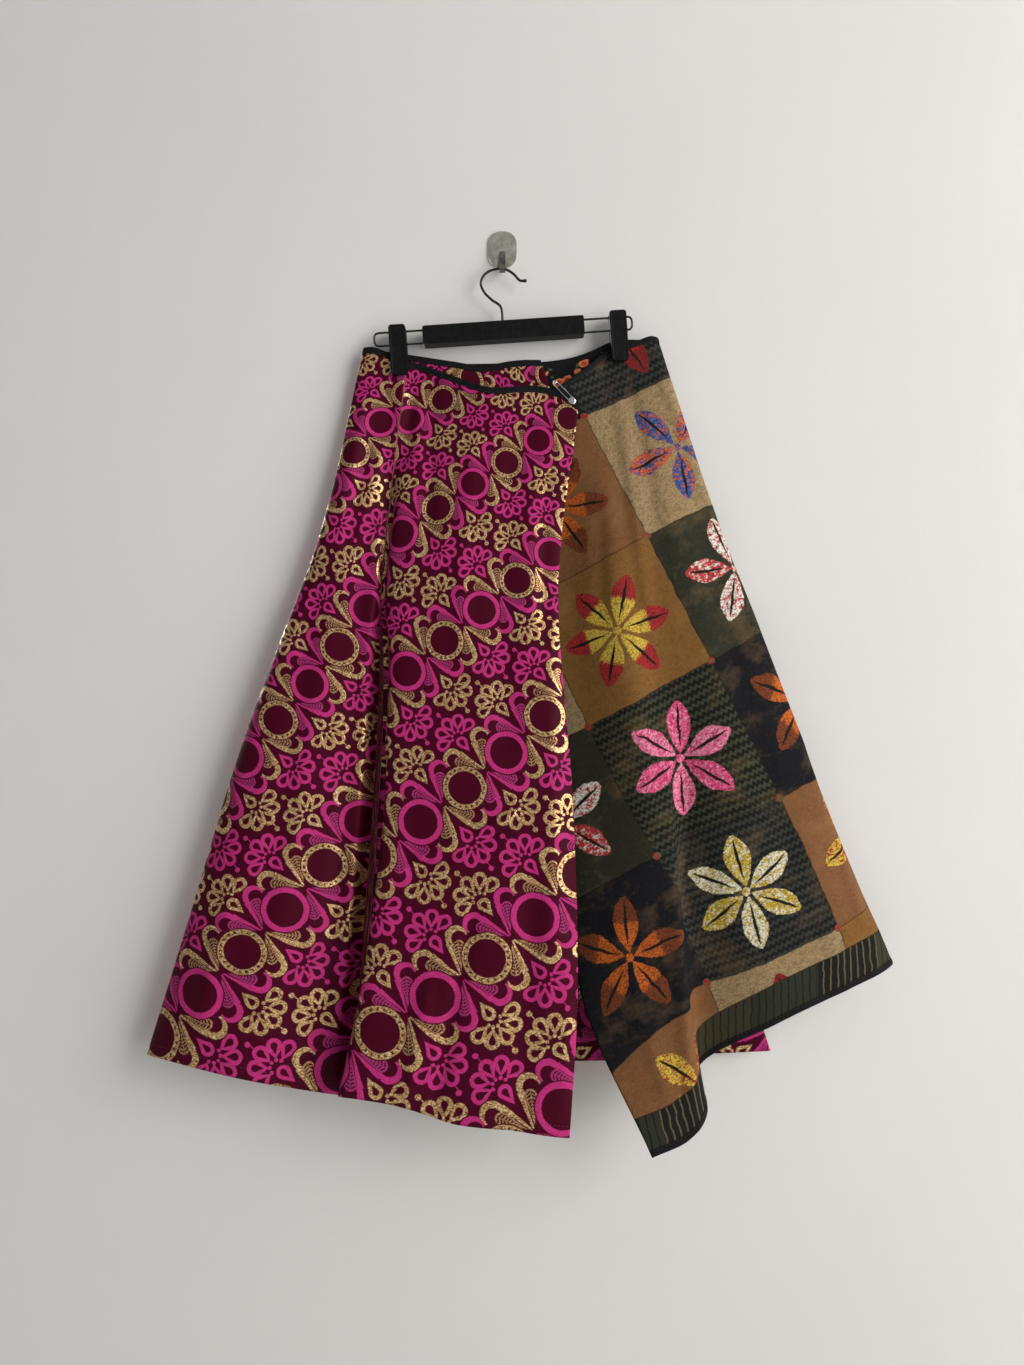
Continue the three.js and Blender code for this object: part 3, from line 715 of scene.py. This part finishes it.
def tape_material():
    """Black woven tape with fine ribs across it."""
    material, tree, shader = new_material("black_tape", Roughness=0.6, Specular_IOR_Level=0.12)
    where = cut_of(tree)
    blacks = ramp(tree, noise(tree, where, 0.2), (0.3, dyed(11, 11, 13)), (0.7, dyed(20, 20, 24)))
    fill(shader.inputs["Base Color"], blacks)
    bump(tree, shader, placed(tree, yarn_weave, Place=where, Threads=1.1)["Height"], strength=0.5)
    return material


def thread_material(name, dark, light):
    """Twisted sewing thread."""
    material, tree, shader = new_material(name, Roughness=0.55)
    twist = noise(tree, place_of(tree), 1400, detail=2)
    fill(shader.inputs["Base Color"], ramp(tree, twist, (0.3, dyed(*dark)), (0.7, dyed(*light))))
    return material


def tape(name, apron, start, end, at_hem, thick, raised=0.0):
    """A folded tape round an edge, as a thin closed wall that is thickest in its middle."""
    rows = spaced(start, end, TAPE_STEPS)
    longest = hanging(apron.folds, rows, 2)[2].max()
    keep = slice(-TAPE_POINTS, None) if at_hem else slice(0, TAPE_POINTS)
    grid, normals, flat, hem_off = apron.cloth(rows, int(longest * TAPE_FINE), keep=keep)
    share = np.sin(np.linspace(0.12, 0.88, TAPE_POINTS) * math.pi) ** 0.35
    half = thick / 2 * share[None, :] * np.ones((len(rows), 1))
    return cloth_wall(name, grid + normals * raised, normals, half, flat, hem_off,
                      tape_cloth, tape_cloth, apron.way > 0)


def ring_points(place, side, over, radius, sides):
    """A ring of points round a place, in metres."""
    angles = [math.tau * corner / sides for corner in range(sides)]
    return [(place + (side * math.cos(a) + over * math.sin(a)) * radius) * MM for a in angles]


def ring_faces(rings, sides, first=0):
    """The faces of a closed bar whose points lie in rings, from this point on."""
    faces = []
    for ring in range(first, first + (rings - 1) * sides, sides):
        for corner in range(sides):
            a, b = ring + corner, ring + (corner + 1) % sides
            faces.append(((a, b, b + sides, a + sides), 0))
    last = first + rings * sides
    return faces + [(tuple(range(first, first + sides))[::-1], 0), (tuple(range(last - sides, last)), 0)]


def stitching(name, apron, start, end, from_edge, at_hem, off, stuff):
    """A row of short stitches on the outer face, this far from the waist or hem edge."""
    rows = spaced(start + SEAM_ENDS, end - SEAM_ENDS, SEAM_STEPS)
    keep = slice(-1, None) if at_hem else slice(0, 1)
    edges = dict(bottom=from_edge) if at_hem else dict(top=from_edge)
    grid, normals, _, _ = apron.cloth(rows, SEAM_DOWNS, keep=keep, **edges)
    line = grid[:, 0] + normals[:, 0] * off * -apron.way
    run = lengths_along(line)
    points, faces = [], []
    for begin in np.arange(2.0, run[-1] - STITCH - 2, STITCH + STITCH_GAP):
        spine = between(begin + STITCH * np.array((0, 0.3, 0.7, 1)), run, line)
        out = between(begin + STITCH / 2, run, normals[:, 0])
        side = np.cross(unit(spine[3] - spine[0]), out)
        faces += ring_faces(4, 6, len(points))
        for place, full in zip(spine, (0.25, 1, 1, 0.25)):
            points += ring_points(place, side, out, full * STITCH_THICK / 2, 6)
    return mesh_object(name, points, faces, [stuff])


tape_cloth = tape_material()
black_thread = thread_material("black_thread", (16, 16, 18), (44, 44, 48))
plum_thread = thread_material("plum_thread", (64, 8, 36), (110, 26, 66))
for half, node, start, end in (("front", "brocade_front_binding", 0, BROCADE_SIDE_SEAM),
                               ("back", "brocade_back_binding", BROCADE_SIDE_SEAM, BROCADE_END)):
    waist = tape(f"brocade_{half}_tape", brocade, start, end, False, 2.6)
    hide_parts(node)
    waist_stitches = stitching(f"brocade_{half}_tape_stitches", brocade, start, end,
                               TAPE_SEAM, False, 1.25, black_thread)
    hem_stitches = stitching(f"brocade_{half}_hem_stitches", brocade, start, end,
                             HEM_SEAM, True, 0.75, plum_thread)
    for piece, slot in ((waist, "binding_tape"), (waist_stitches, "binding_tape"), (hem_stitches, "brocade")):
        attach(piece, "root")
    sewn_on = [waist, waist_stitches, hem_stitches]

# ---- The patchwork apron: printed cloth, lining and tape ---------------------------
# Matte printed cotton, 1.6 mm thick, wrapped round the right side. Its back panel has a
# black lining, and black tape binds the waist and the hem.
PATCHWORK_FOLDS = (
    ("free edge", -181, -1038, 57, 59, 70, 91, 165, 30, 32, 44, 72, 113),
    ("lip", -171, -1021, 68, 80, 102, 137, 207, 29, 36, 54, 86, 106),
    ("ridge", -149, -996, 98, 125, 162, 199, 229, 25, 56, 74, 90, 92),
    ("valley", -129, -961, 122, 152, 194, 217, 224, 18.6, 52, 60, 62, 58),
    ("right front", -121, -906, 142, 192, 255, 284, 310, 18.6, 50, 64, 70, 71),
    ("right bulge", -114, -868, 163, 225, 302, 358, 398, 18.8, 40, 54, 60, 61),
    ("near side", -110, -852, 176, 239, 318, 385, 438, 19.6, 31, 44, 52, 52),
    ("side", -111, -845, 184, 244, 325, 397, 454, 15.5, 22, 30, 36, 38),
    ("turn", -112, -850, 175, 232, 309, 376, 428, 11.8, 12.5, 17, 22, 23),
    ("back side", -114, -868, 134, 180, 250, 310, 350, 13.4, 9.5, 9, 10, 13),
    ("back hollow", -125, -890, 106, 140, 195, 240, 272, 9.8, 8, 7, 6, 5),
    ("back swell", -132, -915, 84, 98, 120, 140, 155, 8, 8.5, 12, 14, 16),
    ("back middle", -137, -930, 50, 40, 30, 25, 22, 7.6, 7, 6, 6, 6),
    ("back roll", -139, -932, -5, -35, -62, -85, -100, 7.6, 8, 10, 12, 13),
    ("back edge", -140, -925, -60, -100, -140, -175, -200, 7.6, 7, 7, 7, 8),
)
PATCHWORK_SIDE_SEAM = 7.5               # halfway between the rows "side" and "turn"
PATCHWORK_CREASES = (
    (2.95, 430, 1.35, 865, 9, 5.0), (3.4, 440, 1.8, 850, 10, -4.0), (3.3, 70, 2.95, 350, 9, 3.2),
    (3.9, 40, 3.6, 260, 9, -2.6), (5.25, 170, 4.5, 480, 17, -3.4), (4.5, 480, 4.6, 660, 14, -2.8),
    (3.6, 580, 3.7, 720, 14, 2.6), (5.6, 610, 5.7, 770, 13, -3.0), (1.9, 160, 1.6, 300, 9, -2.0),
    (1.1, 600, 0.9, 840, 10, 2.6), (5.9, 60, 5.9, 250, 8, 2.0), (6.3, 300, 6.2, 600, 10, 2.6),
    (6.7, 520, 6.6, 735, 9, -2.4), (4.9, 700, 4.9, 800, 10, 2.4),
    (8.6, 90, 8.8, 600, 11, 2.0), (9.5, 200, 9.3, 700, 12, 1.8), (10.4, 60, 10.6, 380, 9, 1.6),
    (11.5, 300, 11.4, 790, 13, 2.0), (12.5, 120, 12.4, 520, 10, 1.6), (13.4, 260, 13.5, 780, 11, 1.8),
)
patchwork = Apron(PATCHWORK_FOLDS, PATCHWORK_CREASES, 2, 1)
PATCHWORK_END = len(PATCHWORK_FOLDS) - 1

# ---- Patchwork: the print -----------------------------------------------------------
# Large squares printed to look like worn tweed, rib and herringbone cloth. Each holds
# one rosette of pointed leaves, printed like looped chenille yarn. A border of upright
# stripes runs along the hem.
PATCH_SIDE = 163.0
PATCH_LEAN = math.radians(19)
PATCH_CORNER = (98, -366)               # one corner of the squares, on the cut
LEAF_LONG, LEAF_WIDE = 62.0, 14.0
BORDER_TALL, BORDER_RIB = 43.0, 8.6
# ground colour, its second colour, share of ribs in it
GROUNDS = (
    ((124, 84, 52), (98, 66, 42), 0.0),
    ((22, 23, 19), (62, 64, 46), 1.0),
    ((156, 132, 96), (100, 82, 58), 0.0),
    ((18, 17, 20), (27, 26, 30), 0.0),
    ((126, 88, 44), (98, 68, 36), 0.0),
    ((21, 23, 23), (54, 55, 50), 1.0),
    ((38, 38, 28), (50, 49, 37), 0.0),
)
FADED, PATCH_EDGE, KNOTS = (178, 140, 92), (24, 22, 18), ((150, 34, 34), (62, 92, 58))
# the border's blocks, and the stripes on each
BORDER_GROUNDS = ((44, 46, 36), (26, 27, 25), (56, 52, 38))
BORDER_STRIPES = ((18, 20, 16), (104, 92, 64), (24, 22, 18))
BORDER_EDGE = (20, 18, 16)
LOOP_SHADE, SLIT_SHADE = (40, 34, 26), (26, 24, 20)
# the two yarns of a rosette
YARNS = (
    ((214, 178, 70), (164, 40, 42)),
    ((226, 218, 190), (196, 164, 52)),
    ((44, 84, 146), (206, 98, 44)),
    ((196, 96, 36), (120, 58, 30)),
    ((226, 74, 128), (240, 140, 170)),
    ((206, 44, 38), (130, 30, 34)),
    ((232, 224, 210), (196, 52, 58)),
)


def pick(tree, place, colours):
    """One of several colours, for a field that runs evenly from 0 to 1."""
    stops = [(k / len(colours), dyed(*colour)) for k, colour in enumerate(colours)]
    return ramp(tree, place, *stops, step=True)


def patchwork_material():
    material, tree, shader = new_material("printed_patchwork", Roughness=0.86, Specular_IOR_Level=0.12)
    where = cut_of(tree)
    x, z, hem_off = wavering(tree, where, 5, scale=0.05, detail=3)
    x, z = x - (PATCH_CORNER[0] + 2.5), z - (PATCH_CORNER[1] + 2.5)
    right, up = (way / PATCH_SIDE for way in turned(x, z, PATCH_LEAN))
    column, row = right.floor(), up.floor()
    fx, fz = (right - column - 0.5) * PATCH_SIDE, (up - row - 0.5) * PATCH_SIDE
    kinds = len(GROUNDS)
    kind = (column * 2.0 + row * 3.0 + 6.0).math("FLOORED_MODULO", kinds)
    ground_at = (kind + 0.5) / kinds
    yarn_at = ((kind + column.odd() * 3.0).math("FLOORED_MODULO", kinds) + 0.5) / kinds

    yarn = placed(tree, yarn_weave, Place=where, Threads=0.55)
    speck = Field(tree, yarn["Speck"])
    worn = noise(tree, where, 0.02, detail=5, rough=0.65)
    ribbed = Field(tree, pick(tree, ground_at, [(255, 255, 255) if g[2] else (0, 0, 0) for g in GROUNDS]))
    rib_lines = (fz * (math.tau / 9.0) + (fx * 0.9).math("PINGPONG", 3.0) * 0.8).math("SINE")
    rib = (rib_lines * 2.5 + 0.2).math("ADD", 0.0, clamp=True) * ribbed
    mottle = noise(tree, where, 0.16, detail=3, rough=0.7)
    blot = (speck * 0.75 + (mottle - 0.5) * 2.0).most(0.0).least(1.0) * ribbed.flipped()
    blot = blot.most(rib * (speck * 0.5 + 0.5))
    ground = mixed(tree, blot, *(pick(tree, ground_at, [g[k] for g in GROUNDS]) for k in (0, 1)))
    faded = ((worn - 0.50) * 3.0).math("ADD", 0.0, clamp=True) * 0.22
    ground = mixed(tree, faded, ground, dyed(*FADED))
    edge = (abs(fx).most(abs(fz)) - (PATCH_SIDE / 2 - 0.8)).inside(1.0).flipped()
    ground = mixed(tree, edge * 0.6, ground, dyed(*PATCH_EDGE))
    knot = (abs(fx) - PATCH_SIDE / 2).apart(abs(fz) - PATCH_SIDE / 2) - 4.4

    count = (column + row * 2.0).odd() + 5.0
    turn = fx.math("ARCTAN2", fz) + (column * 1.7 + row * 2.9) + math.tau * 6
    share = count.math("DIVIDE", math.tau)
    leaf_number = (turn * share).math("ROUND")
    turn = turn - leaf_number / share
    fuzz = noise(tree, where, 0.34, detail=3, rough=0.8) - 0.5
    reach = fx.apart(fz)
    off, along = abs(reach * turn.math("SINE")), (reach * turn.math("COSINE") - 5.0) / LEAF_LONG
    full = (along * along.flipped() * 4.0).most(0.0) * (along * 0.5 + 0.75)
    body = (off - full * LEAF_WIDE + fuzz * 5.0).most((along - 0.97) * 60.0)
    slit = (off - full * (LEAF_WIDE * 0.17) + fuzz * 2.2 + 0.6).most((along - 0.9) * 60.0)
    heart = reach - 4.6 + fuzz * 2.0
    in_leaf = body.inside(0.9).most(heart.inside(0.9))
    in_border = (hem_off - BORDER_TALL).inside(1.0)
    in_leaf = in_leaf * in_border.flipped()
    in_slit = slit.inside(0.9) * (along - 0.12).inside(0.02).flipped()
    blocks = ((along - 0.52 + fuzz * 0.2) * 16.0).math("ADD", 0.5, clamp=True)
    flecks = ((mottle - 0.5) * 9.0 + leaf_number.odd() * 0.8).math("ADD", 0.1, clamp=True)
    second = (blocks * (kind + column).odd()).most(flecks * (kind + column + 1.0).odd())
    loops = Field(tree, add_node(tree, "TexVoronoi", {"Vector": where, "Scale": 0.38}).outputs["Distance"])
    chenille = mixed(tree, second, *(pick(tree, yarn_at, [y[k] for y in YARNS]) for k in (0, 1)))
    chenille = mixed(tree, (loops * 1.1 - 0.25).math("ADD", 0.0, clamp=True), chenille, dyed(*LOOP_SHADE))
    chenille = mixed(tree, in_slit, chenille, dyed(*SLIT_SHADE))

    stripe_at = x / BORDER_RIB
    stripe = (abs(stripe_at - stripe_at.math("ROUND")) - 0.10).inside(0.06)
    block = (x / 78.0).floor().math("FLOORED_MODULO", 3.0) / 3.0 + 0.1
    border = mixed(tree, stripe * (speck * 0.4 + 0.6),
                   pick(tree, block, BORDER_GROUNDS), pick(tree, block, BORDER_STRIPES))
    border_top = (abs(hem_off - BORDER_TALL) - 0.7).inside(0.8)
    knotted = mixed(tree, mottle.math("GREATER_THAN", 0.52), *(dyed(*colour) for colour in KNOTS))
    ground = mixed(tree, (knot + fuzz * 5.0).inside(0.9), ground, knotted)
    cloth = mixed(tree, in_border, mixed(tree, in_leaf, ground, chenille), border)
    cloth = mixed(tree, border_top * 0.7, cloth, dyed(*BORDER_EDGE))
    fill(shader.inputs["Base Color"], cloth)
    height = Field(tree, yarn["Height"]) * 0.5 + in_leaf * (loops.flipped() * 0.9)
    height = height - in_slit * 0.5 - edge * 0.4
    bump(tree, shader, height, strength=0.45, distance=0.0007)
    return material


def lining_material():
    """Black cotton scattered with small roses in orange and red, and green leaves."""
    material, tree, shader = new_material("rose_lining", Roughness=0.85, Specular_IOR_Level=0.15)
    where = cut_of(tree)
    roses = add_node(tree, "TexVoronoi", {"Vector": where, "Scale": 0.052, "Randomness": 0.8})
    off = Field(tree, roses.outputs["Distance"]) + (noise(tree, where, 0.35) - 0.5) * 0.22
    petals = ramp(tree, off * 2.6, (0.15, dyed(120, 20, 22)), (0.45, dyed(206, 70, 44)),
                  (0.8, dyed(232, 142, 92)))
    green = add_node(tree, "TexVoronoi", {"Vector": where, "Scale": 0.075, "Randomness": 1.0})
    leafy = (Field(tree, green.outputs["Distance"]) - 0.26).inside(0.05) * (off - 0.52).inside(0.05)
    ground = mixed(tree, leafy, dyed(20, 18, 20), dyed(66, 84, 44))
    fill(shader.inputs["Base Color"], mixed(tree, (off - 0.34).inside(0.05), ground, petals))
    bump(tree, shader, placed(tree, yarn_weave, Place=where, Threads=1.2)["Height"], strength=0.3)
    return material


print_cloth, lining_cloth = patchwork_material(), lining_material()

# ---- Patchwork apron: the front panel -----------------------------------------------
# The right half of the front. Near the middle its hem swings out in a cone.
patchwork_front = panel("patchwork_front_cloth", patchwork, 0, PATCHWORK_SIDE_SEAM, 5, 6, 1.6,
                        print_cloth, lining_cloth)
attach(patchwork_front, "root")
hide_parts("patchwork_front")

# ---- Patchwork apron: the back panel and its lining ---------------------------------
# From the side seam behind the wearer, next to the wall. Its black lining with small
# roses shows where the waist of the front dips.
patchwork_back = panel("patchwork_back_cloth", patchwork, PATCHWORK_SIDE_SEAM, PATCHWORK_END, 5, 6, 1.6,
                       print_cloth, print_cloth)
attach(patchwork_back, "root")
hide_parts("patchwork_back")
lining = panel("lining_cloth", patchwork, PATCHWORK_SIDE_SEAM, PATCHWORK_END, 5, 6, 1.0,
               lining_cloth, lining_cloth, raised=1.6)
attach(lining, "root")
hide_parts("patchwork_back_lining")

# ---- Patchwork apron: tapes and stitches --------------------------------------------
# The same black tape round the waist and the hem, sewn with black thread. On the back
# panel it is thicker, as it holds the lining too.
for half, panel_piece, start, end, thick, raised, flat, area, held_by in (
    ("front", patchwork_front, 0, PATCHWORK_SIDE_SEAM, 2.6, 0.0, (0.42, 0.91), 0.23, "clip_right_front"),
    ("back", patchwork_back, PATCHWORK_SIDE_SEAM, PATCHWORK_END, 3.6, 0.65, (0.67, 0.82), 0.347,
     "clip_right_back"),
):
    sewn_on = []
    for edge in ("waist", "hem"):
        strip = tape(f"{half}_{edge}_tape", patchwork, start, end, edge == "hem", thick, raised)
        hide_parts(f"patchwork_{half}_{edge}_binding")
        seam = stitching(f"{half}_{edge}_tape_stitches", patchwork, start, end, TAPE_SEAM, edge == "hem",
                         thick / 2 - 0.05 - raised, black_thread)
        sewn_on += [strip, seam]
    for piece in sewn_on:
        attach(piece, "root")

# ---- Safety pin ---------------------------------------------------------------------
# A closed nickel pin through the tape, where the brocade laps over the patchwork. It
# slants down to the right, its coil up on the left and its cap down on the right.
PIN_PLACE, PIN_OUT, PIN_FALLS = (72.5, -181.4), 39.2, math.radians(46)
PIN_LONG, PIN_WIRE, PIN_COIL = 37, 1.3, 2.3
# the wire from one arm's end round the coil to the other's: places along and across
PIN_ARMS = ((32, 2.4), (20, 2.8), (8, 2.5), (2.6, 2.0), (0.7, 0), (2.6, -2.0), (8, -2.5), (20, -2.8),
            (32, -2.4))
# the cap, from its mouth to its round end: place along, half width, half thickness
PIN_CAP = ((28.0, 3.3, 1.05), (28.3, 3.7, 1.25), (30.0, 3.95, 1.3), (33.0, 3.9, 1.3), (35.2, 3.2, 1.15),
           (36.5, 1.9, 0.8), (37.0, 0.6, 0.3))


def tube(name, spine, radii, stuff, sides=14):
    """A round wire along a line of points in millimetres, closed and rounded at both ends."""
    heading = unit(np.gradient(spine, axis=0))
    rings = list(zip(spine, heading, radii))
    for at, way in ((0, -1), (-1, 1)):
        closing = [(spine[at] + heading[at] * radii[at] * past * way, heading[at], radii[at] * share)
                   for past, share in ((0.3, 0.8), (0.5, 0.35))]
        rings = closing[::-1] + rings if at == 0 else rings + closing
    side = np.cross(rings[0][1], (0.31, 0.9, 0.27))
    points = []
    for place, ahead, radius in rings:
        side = unit(side - (side @ ahead) * ahead)
        points += ring_points(place, side, np.cross(ahead, side), radius, sides)
    return mesh_object(name, points, ring_faces(len(rings), sides), [stuff])


def smooth_line(route, steps):
    route = np.array(route, float)
    return through(route, np.linspace(0, len(route) - 1, steps))


def steel_material(name, dark, light, rough, shine=1.0, grain=0.15):
    """Metal with a fine upright brushing and soft clouds of wear."""
    material, tree, shader = new_material(name, Metallic=shine, Roughness=rough)
    where = place_of(tree)
    brushed = add_node(tree, "VectorMath", {0: where, 1: (1, 1, 0.05)}, operation="MULTIPLY").outputs[0]
    lines = noise(tree, brushed, 2200)
    clouds = noise(tree, where, 110, detail=4, rough=0.6)
    fill(shader.inputs["Base Color"], ramp(tree, clouds, (0.35, dyed(*dark)), (0.65, dyed(*light))))
    fill(shader.inputs["Roughness"], clouds * 0.2 + (rough - 0.1))
    bump(tree, shader, lines, strength=grain, distance=0.0001)
    return material


def pin_place(along, across, out=0.0):
    """A place in the room, from one along the pin from its coil end, across it and out of it."""
    x, z = turned(along - PIN_LONG / 2, across, PIN_FALLS)
    return PIN_PLACE[0] + x, -PIN_OUT - out, PIN_PLACE[1] + z


pin_steel = steel_material("nickel_pin", (168, 166, 162), (226, 225, 222), 0.24, grain=0.04)
arms = smooth_line([pin_place(x, z) for x, z in PIN_ARMS], 90)
pin_arms = tube("pin_arms", arms, [PIN_WIRE / 2] * len(arms), pin_steel)
turns = np.linspace(0, math.tau * 1.6, 50)
coil_radius = PIN_COIL - PIN_WIRE / 2
coil = [pin_place(PIN_COIL + 0.3 - coil_radius * math.cos(a), coil_radius * math.sin(a),
                  (a / turns[-1] - 0.5) * 1.1) for a in turns]
pin_coil = tube("pin_coil", np.array(coil), [PIN_WIRE / 2] * len(coil), pin_steel, 10)
points, SIDES = [], 20
for along, half_wide, half_thick in PIN_CAP:
    for corner in range(SIDES):
        angle = math.tau * corner / SIDES
        flat_cos, flat_sin = (math.copysign(abs(v) ** 0.7, v) for v in (math.cos(angle), math.sin(angle)))
        points.append(Vector(pin_place(along, half_wide * flat_cos, half_thick * flat_sin)) * MM)
pin_cap = mesh_object("pin_cap", points, ring_faces(len(PIN_CAP), SIDES), [pin_steel])
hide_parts("closure_pin")
for piece in (pin_arms, pin_coil, pin_cap):
    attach(piece, "root")

# ---- Clip hanger: the bar -----------------------------------------------------------
# A flat moulded bar in black plastic with a fine matte grain, a little scuffed. It hangs
# with its right end up.
HANGER_TILT = math.radians(3.8)
BAR_PLACE = (1.9, -103.4)               # x and z
CLIP_BORDER = (0.0082, 0.0276)          # from a clip's middle to its border, across and up


def dress(node, material):
    """Give a solid of the CAD model its look."""
    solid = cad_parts[node]
    solid.data.materials.clear()
    solid.data.materials.append(material)


def moulded_material(name, clip=None):
    """Black moulded plastic; on a clip, with a shallow border round its face."""
    material, tree, shader = new_material(name, Roughness=0.55, Specular_IOR_Level=0.12)
    where = place_of(tree)
    scuffs = noise(tree, where, 160, detail=5, rough=0.7)
    grain = noise(tree, where, 2600, detail=2)
    fill(shader.inputs["Base Color"], ramp(tree, scuffs, (0.4, dyed(11, 11, 11)), (0.72, dyed(24, 24, 24))))
    fill(shader.inputs["Roughness"], scuffs * 0.25 + 0.42)
    height = grain * 0.25
    if clip:
        x, _, z = axes_of(tree, where)
        along, up = turned(x - clip[0] * MM, z - clip[1] * MM, HANGER_TILT)
        face = (abs(along) - CLIP_BORDER[0]).most(abs(up) - CLIP_BORDER[1])
        height = height - (face + 0.0004).inside(0.0007) * 3.0
    bump(tree, shader, height, strength=0.5, distance=0.0003)
    return material


dress("hanger_bar", moulded_material("moulded_bar"))

# ---- Clip hanger: the hook ----------------------------------------------------------
# Black coated wire, from the bar up and round through the wall hook, with a small round
# knob at its tip.
HOOK_WIRE, HOOK_OUT, HOOK_KNOB = 3.1, 14, 4.2
HOOK_ROUTE = (                          # x and z
    (0.9, -91.9), (-1.7, -73), (-12, -65), (-21, -56), (-25, -46), (-22, -37),
    (-15, -31), (-3, -28), (5, -29), (14, -34.5), (21.5, -42), (28.6, -42.4),
)


def wire_material():
    """Black coating, worn a little paler."""
    material, tree, shader = new_material("coated_wire", Roughness=0.35, Specular_IOR_Level=0.4)
    worn = noise(tree, place_of(tree), 420, detail=4, rough=0.7)
    fill(shader.inputs["Base Color"], ramp(tree, worn, (0.4, dyed(14, 14, 15)), (0.75, dyed(40, 40, 41))))
    bump(tree, shader, worn, strength=0.1, distance=0.0002)
    return material


coated_wire = wire_material()
spine = smooth_line([(x, -HOOK_OUT, z) for x, z in HOOK_ROUTE], 170)
to_tip = lengths_along(spine[::-1])[::-1]
radii = HOOK_WIRE / 2 + (HOOK_KNOB - HOOK_WIRE) / 2 * np.exp(-((to_tip - 1.0) / 1.3) ** 4)
hook = tube("hanger_hook_wire", spine, radii, coated_wire, 18)
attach(hook, "root")
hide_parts("hanger_hook")

# ---- Clip hanger: the two rod loops -------------------------------------------------
# A flat loop of the same wire stands out of each end of the bar. The clips slide on it.
ROD_WIRE, ROD_APART, ROD_OUT, ROD_CORNER = 2.5, 15.3, 16.6, 5.0
ROD_FROM = 95.7
for side, sign, reach in (("left", -1, 153.2), ("right", 1, 152.4)):
    high, bend = ROD_APART / 2, reach - ROD_CORNER
    route = [(ROD_FROM, high), (110, high), (130, high), (bend, high)]
    route += [(bend + ROD_CORNER * math.sin(a), high - ROD_CORNER + ROD_CORNER * math.cos(a))
              for a in np.radians((30, 60, 90))]
    route += [(x, -z) for x, z in route[::-1]]
    tilted = [turned(sign * x, z, -HANGER_TILT) for x, z in route]
    loop = smooth_line([(BAR_PLACE[0] + x, -ROD_OUT, BAR_PLACE[1] + z) for x, z in tilted], 140)
    rod = tube(f"rod_loop_{side}_wire", loop, [ROD_WIRE / 2] * len(loop), coated_wire)
    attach(rod, "root")
    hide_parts(f"rod_loop_{side}")

# ---- Clip hanger: the clips ---------------------------------------------------------
# Two jaws each, moulded in the same plastic, with a shallow border round the face.
for side, place in (("left", (-122, -127.3)), ("right", (138, -110.5))):
    plastic = moulded_material(f"moulded_clip_{side}", place)
    for jaw in ("front", "back"):
        dress(f"clip_{side}_{jaw}", plastic)

# ---- Wall hook ----------------------------------------------------------------------
# A brushed steel plate stuck to the wall, and the darker strip bent out of its middle.
dress("wall_plate", steel_material("brushed_plate", (140, 137, 127), (176, 172, 160), 0.42, shine=0.5))
dress("wall_hook_strip", steel_material("bent_strip", (70, 68, 64), (112, 110, 104), 0.4, shine=0.6))
